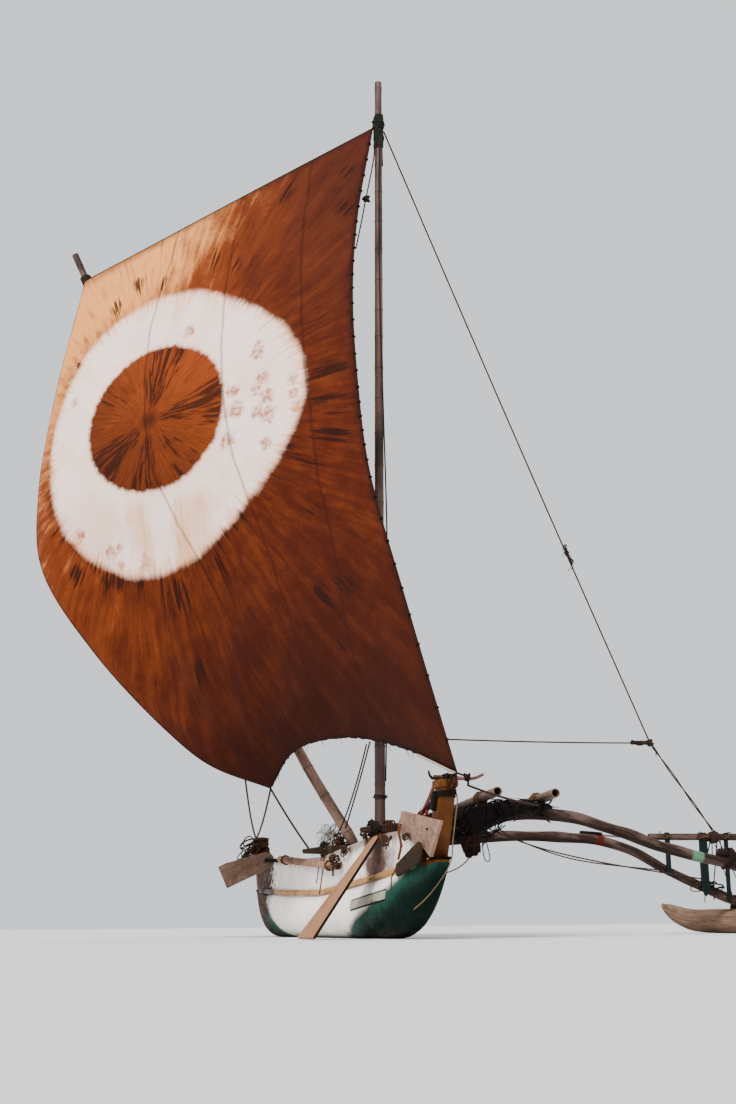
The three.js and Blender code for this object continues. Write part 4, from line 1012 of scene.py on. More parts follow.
def sail_place(u, v, belly):
    """Place on the sail; u runs from luff to leech, v from head to foot."""
    head, luff, leech, foot = (SAIL_EDGES[name] for name in ("head", "luff", "leech", "foot"))
    place = spline(head, u) * (1 - v) + spline(foot, u) * v + spline(luff, v) * (1 - u) + spline(leech, v) * u
    place -= head[0] * (1 - u) * (1 - v) + head[-1] * u * (1 - v) + foot[0] * (1 - u) * v + foot[-1] * u * v
    return place + BELLY * (belly * 16 * u * (1 - u) * v * (1 - v))


def sail_blend(piece):
    """The sail's luff goes with the mast and its peak with the sprit."""
    line = (CLEW - THROAT).normalized()
    start = THROAT + line * (PEAK - THROAT).dot(line)
    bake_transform(piece, "mast", "sprit", start=start, end=PEAK)
    return piece


def sail_edge(name, count):
    return [spline(SAIL_EDGES[name], i / count) for i in range(count + 1)]


def wavy(place):
    """A place moved aside by up to about a centimetre."""
    return place + Vector((noise.noise(place * 7), noise.noise(place * 7 + Vector((9, 0, 0))), 0)) * 0.01


class CANOE_OT_sail(bpy.types.Operator):
    """Make the dyed sail with its bolt rope, folds and frayed foot"""
    bl_idname = "canoe.sail"
    bl_label = "Sail"

    def execute(self, context):
        s = settings("sail")
        across, down = 88, 140
        deselect()
        bpy.ops.mesh.primitive_grid_add(x_subdivisions=across, y_subdivisions=down, size=2,
                                        location=(0, 0, 0))
        sail = added("dyed_sail")
        shares = [((p.co.x + 1) / 2, (1 - p.co.y) / 2) for p in sail.data.vertices]
        places = [sail_place(u, v, s.belly) for u, v in shares]
        panel = sail.data.uv_layers[0]
        panel.name = "panel"
        cloth = sail.data.uv_layers.new(name="cloth")
        flat = Vector((0.77, 0.64, 0)).normalized()
        for loop in sail.data.loops:
            u, v = shares[loop.vertex_index]
            place = places[loop.vertex_index]
            panel.data[loop.index].uv = (u, v)
            cloth.data[loop.index].uv = ((place - Vector((1.6, -1.0, 0))).dot(flat), place.z)
        for vertex, (u, v), place in zip(sail.data.vertices, shares, places):
            inside = min(1.0, 14 * u * (1 - u)) * min(1.0, 14 * v * (1 - v))
            push = 0.0
            for corner, reach, count, height in CORNER_FOLDS:
                away = place - corner
                turn = math.atan2(away.z, away.dot(flat))
                fade = math.exp(-away.length / reach) * min(1.0, away.length / 0.5)
                push += s.fold_depth * height * fade * math.sin(turn * count + corner.x)
            lane = u - seam_bend(v)
            for where in SEAMS:
                stitched = 0.6 + 0.4 * math.sin(v * 60 + where * 9)
                push += 0.010 * math.exp(-((lane - where) / 0.02) ** 2) * stitched
            push += 0.035 * noise.noise(place * 0.9) + 0.012 * noise.noise(place * 2.6)
            vertex.co = place + BELLY * (push * inside)
            if v > 0.999 and 0 < u < 1:
                vertex.co.z += 0.020 * noise.noise(Vector((u * 60, 0, 3)))
        smooth(sail, 180)
        modify(sail, "SOLIDIFY", thickness=0.003, offset=0)
        dress(sail, sail_finish(), ["sail"], None)
        sail_blend(sail)

        bolt = lash("bolt_rope", [(sail_edge("head", 60), 0.008), (sail_edge("luff", 110), 0.011)],
                    rope_finish("old_bolt_rope", seen(0.34, 0.20, 0.12)), body=None)
        sail_blend(bolt)
        chance = random.Random(5)
        threads = []
        for _ in range(26):
            start = spline(SAIL_EDGES["foot"], chance.uniform(0.03, 0.97))
            fall = chance.uniform(0.02, 0.08)
            lean = Vector((chance.uniform(-0.03, 0.03), chance.uniform(-0.03, 0.03), -fall))
            threads.append(([wavy(start + lean * share) for share in (0, 0.5, 1)], 0.0025))
        frayed = ropes("frayed_foot", threads, 4)
        dress(frayed, rope_finish("frayed_yarn", s.dark_dye), body=None)
        sail_blend(frayed)
        tack_end = [spline(SAIL_EDGES["foot"], 0.17 * i / 16) + Vector((0, -0.015, 0)) for i in range(17)]
        bleached = rope_finish("pale_edge_rope", seen(0.85, 0.78, 0.70))
        pale_rope = lash("tack_rope_edge", [(tack_end, 0.012)], bleached, body=None)
        sail_blend(pale_rope)
        ties = []
        for i in range(1, 34):
            at = spline(SAIL_EDGES["luff"], i / 34)
            nearby = spline(SAIL_EDGES["luff"], i / 34 + 0.01)
            ties.append(winding(at, nearby - at, 0.010, 0.02, 0.004, 2, i))
        yarn = rope_finish("tie_yarn", seen(0.26, 0.16, 0.11))
        marled = lash("bolt_rope_ties", ties, yarn, body=None, sides=4)
        sail_blend(marled)
        return {"FINISHED"}


# Spars
MAST_LINE = [(2.175, 0.005, 1.140), (2.175, 0.088, 10.650)]
MAST_RADIUS = (0.064, 0.044)
# Share of the mast's length where the throat is lashed, 10 m up
THROAT_SHARE = (10.0 - 1.14) / 9.51
SPRIT_LINE = [
    (0.825, 0.032, 1.165), (0.600, -0.575, 2.246), (0.160, -1.560, 4.500), (-0.405, -2.540, 7.000),
    (-0.885, -3.420, 9.210),
]
SPRIT_RADIUS = (0.068, 0.046)


def rounded_heel(stops, radius):
    """Stops that start with a round heel just past the line's own start."""
    heel = [(0.004, radius * 0.25, 0), (0.010, radius * 0.62, 0), (0.026, radius * 0.88, 0)]
    return heel + [stop for stop in stops if stop[0] > 0.04]


class CANOE_OT_spars(bpy.types.Operator):
    """Make the bamboo mast and sprit with their lashings"""
    bl_idname = "canoe.spars"
    bl_label = "Mast and sprit"

    def execute(self, context):
        s, r = settings("spars"), settings("ropes")
        # Columns: name, node and body, line, radii, seed, colour, where its dark foot ends
        for name, node, line, radii, seed, light, ends in (
            ("bamboo_mast", "mast", MAST_LINE, MAST_RADIUS, 3, s.bamboo, (2.0, 7.0)),
            ("bamboo_sprit", "sprit", SPRIT_LINE, SPRIT_RADIUS, 8, dull(s.bamboo, 1.8), (0.5, 4.0)),
        ):
            route = Route(line)
            along = (route.at(0.05) - route.at(0)).normalized()
            foot = Vector(line[0]) - along * radii[0] * 0.97
            route = Route([foot] + [route.at(route.length * i / 8) for i in range(1, 9)])
            stops = bamboo_stops(route.length, *radii, s.joint_gap, seed, hollow=False)
            spar = pole(name, route, rounded_heel(stops, radii[0]), 16, 0.03, X, seed)
            smooth(spar, 50)
            finish = bamboo_finish(name + "_skin", light, s.bamboo_dark, ends)
            dress(spar, finish, [node], node)

        sprit = Route(SPRIT_LINE)
        heel, tip = (Vector(end) for end in MAST_LINE)
        up = tip - heel
        head = heel.lerp(tip, THROAT_SHARE)
        runs = [winding(head - Vector((0, 0, 0.05)), up, 0.046, 0.46, 0.009, 18, 4, 0.5),
                winding(head + Vector((0, 0, 0.05)), up, 0.056, 0.10, 0.009, 4, 9, 0.7)]
        start, end = Vector((0.07, 0.02, -0.1)), Vector((0.075, 0.03, -0.55))
        runs.append((hanging(head + start, head + end, 0, 6), 0.008))
        green = rope_finish("green_rope", r.sea_green)
        lash("masthead_windings", runs, green, ["masthead_lashing"], "mast")

        spot = next(i for i in range(200) if sprit.at(sprit.length * i / 200).z > 8.76) / 200 * sprit.length
        centre = sprit.at(spot)
        along = sprit.at(spot + 0.1) - sprit.at(spot - 0.1)
        runs = [winding(centre, along, 0.049, 0.22, 0.010, 11, 6, 0.5)]
        tail = centre + Vector((0.06, -0.02, 0))
        runs.append(([tail, tail + Vector((0.02, 0.0, -0.12)), tail + Vector((0.0, -0.03, -0.27))], 0.008))
        grey = rope_finish("peak_rope", seen(0.38, 0.33, 0.27))
        lash("peak_windings", runs, grey, ["peak_lashing"], "sprit")
        return {"FINISHED"}


# The main stay and the other lines; the rail carries the stay's foot
RAIL_X, RAIL_Z = 0.4706, 1.245
STAY_TOP = Vector((2.130, 0.165, 10.0))
STAY_KNOT = Vector((0.675, 4.143, 2.451))
STAY_FOOT = Vector((RAIL_X, 5.09, 1.330))


class CANOE_OT_stay(bpy.types.Operator):
    """Make the main stay with its splice, knot, cross rope and the lashing at its foot"""
    bl_idname = "canoe.stay"
    bl_label = "Main stay"

    def execute(self, context):
        s = settings("ropes")
        coir = rope_finish("stay_rope", s.stay, 40)
        radius = s.stay_radius
        run = []
        for i in range(41):
            dip = 0.05 * math.sin(math.pi * i / 40)
            run.append(STAY_TOP.lerp(STAY_KNOT, i / 40) - Vector((0, 0, dip)))
        runs = [(run, radius)]
        splice = STAY_TOP.lerp(STAY_KNOT, 0.685)
        line = (STAY_KNOT - STAY_TOP).normalized()
        runs.append(winding(splice, line, radius, 0.26, 0.008, 9, 3, 0.4))
        chance = random.Random(2)
        for _ in range(9):
            start = splice + line * chance.uniform(-0.15, 0.15)
            out = Vector((chance.uniform(-0.05, 0.05), chance.uniform(-0.09, 0.09),
                          chance.uniform(-0.12, 0.03)))
            runs.append(([start, start + out * 0.6, start + out], 0.004))
        doubled = STAY_FOOT - STAY_KNOT
        for shift in (-0.012, 0.012):
            aside = Vector((shift, shift * 0.6, 0))
            run = [STAY_KNOT + doubled * (i / 10) + aside * math.cos(i * 0.9) for i in range(11)]
            runs.append((run, radius * 0.9))
        runs.append(winding(STAY_KNOT, line, 0.006, 0.06, 0.012, 4, 8, 0.6))
        runs.append(winding(STAY_KNOT, doubled, 0.010, 0.05, 0.011, 4, 5, 0.6))
        tail = STAY_KNOT + Vector((0.01, 0.02, -0.02))
        runs.append(([tail, tail + Vector((0, 0.05, -0.06)), tail + Vector((0, 0.055, -0.15))], 0.007))
        stay = lash("main_stay_rope", runs, coir, ["main_stay"], None)
        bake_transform(stay, "hull", "mast", start=STAY_FOOT, end=STAY_TOP)

        mast_end = Vector((2.185, 0.073, 2.270))
        cross = lash("cross_rope", [
            (hanging(STAY_KNOT, mast_end, 0.02, 20), 0.009),
            winding((2.175, 0.015, 2.27), Z, 0.062, 0.022, 0.008, 2, 7),
            winding(STAY_KNOT.lerp(mast_end, 0.045), mast_end - STAY_KNOT, 0.010, 0.30, 0.009, 12, 9, 0.4),
        ], coir, body=None)
        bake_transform(cross, "hull", "mast", start=STAY_KNOT, end=mast_end)

        rail = Vector((RAIL_X, 5.09, RAIL_Z))
        runs = [winding(rail, Y, 0.046, 0.13, 0.009, 8, 11, 0.4),
                winding(rail, Y, 0.060, 0.08, 0.009, 5, 12, 0.6)]
        for aside in (-0.05, 0.06):
            start, end = Vector((0.06, aside, 0)), Vector((0.07, aside * 1.4, -0.28))
            runs.append((hanging(rail + start, rail + end, 0, 5), 0.007))
        lash("stay_foot_windings", runs, coir, ["stay_foot_lashing"])
        return {"FINISHED"}


class CANOE_OT_lines(bpy.types.Operator):
    """Make the halyard, the sheets and the small lines"""
    bl_idname = "canoe.lines"
    bl_label = "Halyard and sheets"

    def execute(self, context):
        s = settings("ropes")
        thin = s.line_radius
        pale = plain_finish("line_rope", seen(0.42, 0.30, 0.24), 60)
        dark = plain_finish("dark_line_rope", seen(0.32, 0.26, 0.23), 60)

        halyard = [(2.235, 0.085, 9.86), (2.240, 0.062, 9.0), (2.245, 0.058, 7.67), (2.245, 0.085, 6.2),
                   (2.240, 0.112, 4.74), (2.245, 0.100, 3.2), (2.245, 0.060, 1.75)]
        brail = [(2.225, 0.03, 9.80), (2.24, -0.01, 9.49), (2.26, -0.115, 8.97), (2.40, -0.22, 8.55),
                 (2.56, -0.33, 8.15)]
        lash("halyard_lines", [
            (Route(halyard).even(60), thin), (Route(brail).even(24), thin),
            winding((2.26, -0.115, 8.97), Z, 0.012, 0.07, 0.012, 4, 2),
            winding((2.175, 0.012, 1.58), Z, 0.063, 0.03, 0.008, 2, 5),
        ], dark, body="mast")

        cap_top = Vector((-4.535, 0.0, 1.42))
        # Columns: name, mast end, hull end, sag, radius, finish
        for name, start, end, sag, thick, finish in (
            ("clew_sheet", CLEW + Vector((0, 0, 0.01)), (-4.50, -0.10, 1.435), 0.10, 0.013, pale),
            ("leech_sheet", (0.335, -1.205, 1.94), (-4.52, -0.06, 1.440), 0.14, 0.013, pale),
            ("clew_tail", CLEW, (0.445, -0.42, 1.075), 0.02, 0.013, dark),
            ("foot_line", (2.77, -0.27, 2.14), (0.90, -0.07, 1.30), 0.03, thin, dark),
            ("foot_line_low", (2.66, -0.28, 2.12), (0.80, -0.16, 1.20), 0.10, thin, dark),
        ):
            line = lash(name, [(hanging(start, end, sag, 26), thick)], finish, body=None)
            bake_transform(line, "hull", "mast", start=end, end=start)
        coil = []
        for i in range(5 * 22 + 1):
            turn = 2 * math.pi * i / 22
            wide = 0.105 + 0.02 * math.sin(turn * 0.37)
            lift = 0.012 + 0.009 * (i // 22) + 0.004 * math.sin(turn * 2.3)
            coil.append(cap_top + Vector((wide * 1.15 * math.cos(turn), wide * math.sin(turn), lift)))
        fall = ((0.08, -0.09, 0.02), (0.11, -0.15, -0.03), (0.12, -0.16, -0.22))
        end = [cap_top + Vector(at) for at in fall]
        loops = tangle(cap_top + Vector((0.02, -0.12, -0.10)), (0.26, 0.16, 0.14), 0.011, 20, 66)
        lash("stem_coil", loops + [
            (coil, 0.010),
            winding(cap_top + Vector((0, 0, -0.14)), (0.4, 0, 1), 0.118, 0.07, 0.010, 4, 3),
            (end, 0.009),
        ], rope_finish("coiled_rope", seen(0.42, 0.31, 0.22)))
        lash("light_net", tangle((0.24, -0.10, 1.27), (0.16, 0.12, 0.11), 0.0035, 40, 67),
             plain_finish("net_twine", seen(0.72, 0.70, 0.64), 60), sides=4)
        return {"FINISHED"}


# Hull lines, as the frame has them
HALF_LENGTH = 4.525
HALF_BEAM = 0.225
FLAT_KEEL = 2.7
HOLLOW_END = 3.4
LOG_WALL = 0.045
LOG_FLOOR = 0.085
# X of the edges' lowest place, and the runs from it to where their rise fore and aft is measured
LOWEST_X, FORE_RUN, AFT_RUN = 0.175, 4.2, 4.9


def sheer(x, low, fore, aft):
    """Height of an edge that rises towards the ends."""
    run = (x - LOWEST_X) / FORE_RUN if x > LOWEST_X else (LOWEST_X - x) / AFT_RUN
    return low + (fore if x > LOWEST_X else aft) * run ** 1.5


def log_edge(x):
    return sheer(x, 0.545, 0.250, 0.160)


def gunwale(x):
    return sheer(x, 0.985, 0.320, 0.090)


def plan(x):
    return 1 - (abs(x) / HALF_LENGTH) ** 2.4


def side_half(x):
    return 0.075 + 0.150 * plan(x)


def keel_height(x):
    past = max(0.0, abs(x) - FLAT_KEEL) / (HALF_LENGTH - FLAT_KEEL)
    return (log_edge(math.copysign(HALF_LENGTH, x)) - 0.06) * past ** 2.2


def log_profile(x, inset, floor, steps=6):
    """Half section from the keel's middle up to the edge, as (y, z)."""
    keel, edge = keel_height(x) + floor, log_edge(x)
    bulge = 0.060 + 0.300 * plan(x) - inset
    side = side_half(x) - inset
    flat = min(0.050, bulge * 0.6)
    shoulder = keel + 0.45 * (edge - keel)
    lip = edge - min(0.040, (edge - keel) * 0.3)
    half = [(0.0, keel), (flat, keel)]
    for i in range(1, steps + 1):
        turn = math.pi / 2 * i / steps
        half.append((flat + (bulge - flat) * math.sin(turn), shoulder - (shoulder - keel) * math.cos(turn)))
    for i in range(1, steps + 1):
        turn = math.pi / 2 * i / steps
        half.append((side + (bulge - side) * math.cos(turn), shoulder + (lip - shoulder) * math.sin(turn)))
    half.append((side, edge))
    return half


def log_ring(x, hollow):
    outer = log_profile(x, 0, 0)
    if hollow:
        inner = log_profile(x, LOG_WALL, LOG_FLOOR)
    else:
        wide = side_half(x) - LOG_WALL
        count = len(outer) - 1
        inner = [(wide * i / count, log_edge(x) - 0.001) for i in range(count + 1)]
    right = outer + inner[::-1]
    left = [(-y, z) for y, z in right[1:-1]][::-1]
    return [Vector((x, y, z)) for y, z in right + left]


def hull_side(x, z):
    """How far the log's outside stands from the middle at a height."""
    half = log_profile(x, 0, 0, 12)
    for (y0, z0), (y1, z1) in zip(half, half[1:]):
        if z0 <= z <= z1 and z1 > z0:
            return y0 + (y1 - y0) * (z - z0) / (z1 - z0)
    return side_half(x)


class CANOE_OT_hull(bpy.types.Operator):
    """Make the hollowed log, the plank sides and the rubbing strakes"""
    bl_idname = "canoe.hull"
    bl_label = "Hull"

    def execute(self, context):
        s = settings("hull")
        stations = [-HALF_LENGTH + 2 * HALF_LENGTH * i / 72 for i in range(73)]
        marks = [(x, abs(x) < HOLLOW_END) for x in stations]
        for way in (-1, 1):
            marks += [(way * HOLLOW_END, True), (way * (HOLLOW_END + 0.002), False)]
        log = grow("hull_log", [log_ring(x, hollow) for x, hollow in sorted(marks)])
        smooth(log, 38)
        nodes = ["dugout_fore_end", "dugout_aft_end"]
        for part in ("aft", "waist", "fore"):
            nodes += [f"dugout_bottom_{part}", f"dugout_side_lee_{part}", f"dugout_side_outrigger_{part}"]
        dress(log, hull_finish("hull_paint", is_log=True), nodes)

        planks = hull_finish("plank_paint", is_log=False)
        strake_paint = paint_finish("strake_paint", s.strake, seen(0.40, 0.30, 0.22), 0.6, bare_aft=-2.45)
        for side in ("lee", "outrigger"):
            names = [f"washstrake_{side}_{part}" for part in ("aft", "waist", "fore")]
            plank = planed(f"plank_side_{side}", names, 0.004)
            # The fore upper edge falls below the CAD one
            for vertex in plank.data.vertices:
                x, z = vertex.co.x, vertex.co.z
                share = min(1.0, max(0.0, (z - log_edge(x)) / (gunwale(x) - log_edge(x))))
                run = min(1.0, max(0.0, (x - 2.6) / 0.7))
                vertex.co.z -= 0.15 * run * run * (3 - 2 * run) * share
            dress(plank, planks, names)
            strake = planed(f"strake_{side}", [f"rubbing_strake_{side}"], 0.010, 3)
            dress(strake, strake_paint, [f"rubbing_strake_{side}"])

        # A mending strip nailed low on the lee side, with its dark packing showing round it
        tar = plain_finish("packing_tar", seen(0.14, 0.10, 0.08), 30)
        paint = paint_finish("strip_paint", seen(0.78, 0.76, 0.70), seen(0.40, 0.32, 0.25), 0.6)
        # Columns: name, half height, how proud of the hull, finish
        for name, high, proud, finish in (
            ("strip_packing", 0.062, 0.004, tar),
            ("mending_strip", 0.046, 0.009, paint),
        ):
            rings = []
            for i in range(13):
                x = 2.04 + 1.14 * i / 12
                middle = 0.365 + 0.10 * i / 12
                ring = []
                for k, share in enumerate((-1, -0.5, 0.5, 1, 1, -1)):
                    z = middle + high * share
                    out = proud if k < 4 else -0.01
                    ring.append(Vector((x, -hull_side(x, z) - out, z)))
                rings.append(ring)
            strip = grow(name, rings)
            smooth(strip, 30)
            dress(strip, finish)
        return {"FINISHED"}


def crook_radius(t):
    """Radius of the tack stick at share t of its length, with a knot in the middle."""
    return 0.024 - 0.009 * t + (0.004 if 0.45 < t < 0.52 else 0)


class CANOE_OT_stems(bpy.types.Operator):
    """Make the stemposts with their caps, windings, peg and the tack stick"""
    bl_idname = "canoe.stems"
    bl_label = "Stemposts"

    def execute(self, context):
        s, r, b = settings("hull"), settings("ropes"), settings("boards")
        ochre = paint_finish("stem_paint", s.ochre, seen(0.24, 0.14, 0.07), 0.5, (0.41, 0, 0.91))
        cap_paint = paint_finish("cap_paint", dull(s.ochre, 1.25), seen(0.36, 0.24, 0.12))
        aft_paint = paint_finish("aft_cap_paint", dull(s.ochre, 0.45), seen(0.36, 0.26, 0.18), 0.6)
        # Columns: end, direction along X, height of the post's top
        for end, way, top in (("fore", 1, 1.470), ("aft", -1, 1.330)):
            post = planed(f"{end}_stem", [f"{end}_stempost"], 0.014, 3)
            dress(post, ochre, [f"{end}_stempost"])
            cap = planed(f"{end}_stem_head", [f"{end}_stem_cap"], 0.010, 2, 25)
            smooth(cap, 18)
            low, high = box(f"{end}_stem_cap")
            middle = (low.x + high.x) / 2
            for vertex in cap.data.vertices:
                vertex.co.x = middle + (vertex.co.x - middle) * 0.88
                vertex.co.y *= 0.74
            for vertex in post.data.vertices:
                vertex.co.y *= 1.12
            dress(cap, cap_paint if way > 0 else aft_paint, [f"{end}_stem_cap"])
            runs = []
            for i in range(4):
                z = top - 0.028 - 0.017 * i
                x = way * (4.30 + (z - log_edge(4.4 * way)) * 0.45)
                loop = box_loop((x, 0, z), 0.108, 0.088, X, Y, 0.02, 0.004 * (-1) ** i)
                runs.append((loop, 0.009))
            x = way * (4.30 + (top - 0.1 - log_edge(4.4 * way)) * 0.45)
            runs += tangle((x - 0.13 * way, -0.055, top - 0.05), (0.04, 0.018, 0.05), 0.007, 6, 70 + way)
            lash(f"{end}_stem_windings", runs, rope_finish(f"{end}_stem_rope", seen(0.24, 0.16, 0.12)))

        # A dark cleat on the fore stem's lee face, a leaning prop, a pale stick and a rag beside it
        deselect()
        bpy.ops.mesh.primitive_cube_add(size=1, location=(0, 0, 0))
        cleat = added("stem_cleat")
        activate(cleat)
        bpy.ops.object.mode_set(mode="EDIT")
        bpy.ops.mesh.select_all(action="SELECT")
        bpy.ops.transform.resize(value=(0.075, 0.040, 0.17))
        bpy.ops.mesh.subdivide(number_cuts=2, smoothness=0.3)
        bpy.ops.transform.rotate(value=-0.42, orient_axis="Y")
        bpy.ops.transform.translate(value=(4.545, -0.106, 1.345))
        bpy.ops.object.mode_set(mode="OBJECT")
        smooth(cleat, 50)
        dress(cleat, board_finish("cleat_wood", seen(0.15, 0.10, 0.07), (0.4, 0, 0.9)))
        poles = []
        for points, thick, end_thick in (
            ([(4.40, -0.062, 1.355), (4.30, -0.058, 1.33), (3.86, -0.05, 1.255), (3.45, 0.02, 1.165)],
             0.032, 0.024),
            ([(4.46, -0.078, 1.500), (4.30, -0.078, 1.395), (4.14, -0.078, 1.315), (3.98, -0.075, 1.235)],
             0.019, 0.017),
        ):
            line = Route(points)
            stops = log_stops(line.length, lambda t: thick + (end_thick - thick) * t, 0.06)
            stops = [(0, thick * 0.6, 0), (0.01, thick, 0)] + stops[1:-1]
            stops += [(line.length - 0.01, end_thick, 0), (line.length, end_thick * 0.6, 0)]
            poles.append(pole("stem_prop", line, stops, 10, 0.25, seed=9.0))
        dark_prop, pale_prop = poles
        smooth(dark_prop)
        smooth(pale_prop)
        pale_prop.name = pale_prop.data.name = "stem_stick"
        dress(dark_prop, log_finish("prop_wood", seen(0.22, 0.14, 0.12)))
        dress(pale_prop, log_finish("stick_wood", seen(0.70, 0.50, 0.42)))
        lash("red_rag", tangle((4.20, -0.074, 1.255), (0.03, 0.012, 0.05), 0.010, 6, 5),
             plain_finish("red_cloth", seen(0.58, 0.25, 0.24), 25))

        stick = Route([(4.565, -0.108, 1.583), (4.566, 0.05, 1.583), (4.567, 0.16, 1.578),
                       (4.574, 0.28, 1.575), (4.576, 0.35, 1.592), (4.570, 0.416, 1.622)])
        stops = log_stops(stick.length, crook_radius, 0.03)
        tack = pole("tack_crook", stick, stops, 9, 0.25, seed=4)
        smooth(tack)
        dress(tack, log_finish("tack_wood", seen(0.44, 0.32, 0.26)), ["tack_stick"])
        coir = rope_finish("tack_rope", seen(0.30, 0.20, 0.15))
        runs = [
            winding((4.567, 0.03, 1.583), Y, 0.022, 0.09, 0.009, 6, 3, 0.5),
            winding((4.575, 0.24, 1.590), Y, 0.018, 0.06, 0.008, 5, 6, 0.5),
        ]
        for i in range(4):
            centre, lean = (4.600, -0.02 + 0.03 * i, 1.528), 0.008 * (-1) ** i
            runs.append((box_loop(centre, 0.134, 0.080, X, Z, 0.03, lean), 0.008))
        runs += tangle((4.58, 0.10, 1.585), (0.05, 0.05, 0.03), 0.007, 6, 15)
        lash("tack_windings", runs, coir)
        # The painter falls from the cap and then lies on the stem's slope
        fall = [(4.64, 0.06, 1.50), (4.668, 0.100, 1.40), (4.59, 0.104, 1.18), (4.49, 0.104, 0.95),
                (4.535, 0.075, 0.79)]
        for y, z in ((0.055, 0.70), (0.03, 0.62), (0.0, 0.54), (-0.035, 0.46), (-0.075, 0.38),
                     (-0.115, 0.30)):
            low, high = 3.6, HALF_LENGTH
            for _ in range(20):
                x = (low + high) / 2
                low, high = (x, high) if keel_height(x) < z and hull_side(x, z) > abs(y) else (low, x)
            fall.append((low + 0.014, y, z))
        tan = rope_finish("painter_rope", seen(0.66, 0.57, 0.45))
        lash("stem_painter", [(Route(fall, 60).even(40), 0.007)], tan)
        tack_line = lash("tack_line", [
            (hanging(TACK, (4.575, 0.24, 1.600), 0.0, 6), 0.010),
            (hanging(TACK, (4.566, 0.06, 1.60), 0.0, 6), 0.008),
        ], coir, body=None)
        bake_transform(tack_line, "hull", "mast", start=(4.575, 0.2, 1.585), end=TACK)
        lash("boom_line", [
            (hanging((4.30, 0.345, 1.535), (2.66, 1.90, 1.445), 0.03, 24), 0.013),
            (hanging((4.575, 0.26, 1.585), (4.30, 0.345, 1.535), 0.0, 4), 0.013),
        ], plain_finish("boom_line_rope", r.stay, 60))

        peg = Route([(4.60, -0.13, 1.57), (4.64, -0.175, 1.60), (4.66, -0.19, 1.64)])
        dowel = pole("stem_peg", peg, log_stops(peg.length, lambda t: 0.016 - 0.006 * t, 0.02), 8, 0.15)
        smooth(dowel)
        dress(dowel, board_finish("peg_wood", b.dark))
        return {"FINISHED"}


class CANOE_OT_thwarts(bpy.types.Operator):
    """Make the thwarts, the steps of the spars, the boom beams, the aft oar bar and the pin"""
    bl_idname = "canoe.thwarts"
    bl_label = "Thwarts and steps"

    def execute(self, context):
        s = settings("boards")
        grey = board_finish("thwart_wood", s.grey, Y)
        dark = board_finish("step_wood", s.dark, Y)
        for node in ("fore_thwart", "waist_thwart", "aft_thwart", "fore_boom_beam", "aft_boom_beam"):
            dress(planed(node + "_plank", [node], 0.005), grey, [node])
        for node in ("mast_step", "sprit_step"):
            dress(planed(node + "_block", [node], 0.010, 3), dark, [node])
        post = paint_finish("oar_bar_paint", s.post, seen(0.42, 0.33, 0.26), 0.4, Y)
        dress(planed("oar_bar", ["aft_oar_bar"], 0.004, 2, 50), post, ["aft_oar_bar"])
        dress(planed("board_pin", ["fore_board_pin"], 0.003, 2, 50), dark, ["fore_board_pin"])
        return {"FINISHED"}


# Booms, from the lee tip out to the float
FLOAT_Y = 5.4


def boom_seat(fore):
    """X of a boom, and the height of its middle line where it lies on the hull."""
    x = 2.545 if fore else 0.445
    return x, gunwale(x) + 0.071


def boom_line(fore):
    x, seat = boom_seat(fore)
    rest = side_half(x) - 0.0125
    bend = (
        [(0.900, 1.290), (1.720, 1.382), (2.215, 1.340), (2.560, 1.252), (2.920, 1.152), (3.270, 1.031),
         (3.630, 0.938), (4.280, 0.785), (4.900, 0.570)]
        if fore else
        [(1.000, 1.150), (1.920, 1.231), (2.930, 1.236), (3.474, 1.190), (3.877, 1.074), (4.391, 0.818),
         (4.800, 0.640)]
    )
    first = [(-0.330, seat - 0.008)] if fore else [(-0.500, seat - 0.018)]
    line = first + [(-rest, seat), (rest, seat)] + bend + [(5.400, 0.410), (5.650, 0.370)]
    return Route([(x, y, z) for y, z in line], 400)


def boom_radius(t, fore):
    """Radius of a boom at share t of its length: thin at the lee tip, thickest over the hull."""
    plain = 0.074 - 0.016 * t
    tip = min(1.0, t / (0.060 if fore else 0.085))
    return plain * (0.36 + 0.64 * tip)


def middle_line(node, count):
    """Middle line of a CAD log that runs along Y, found from slices of it."""
    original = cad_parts[node]
    points = [original.matrix_world @ vertex.co for vertex in original.data.vertices]
    low, high = min(p.y for p in points), max(p.y for p in points)
    places = []
    for i in range(count):
        at = low + (high - low) * i / (count - 1)
        near = [p for p in points if abs(p.y - at) < (high - low) / count]
        x, z = ((min(p[k] for p in near) + max(p[k] for p in near)) / 2 for k in (0, 2))
        places.append(Vector((x, at, z)))
    return places


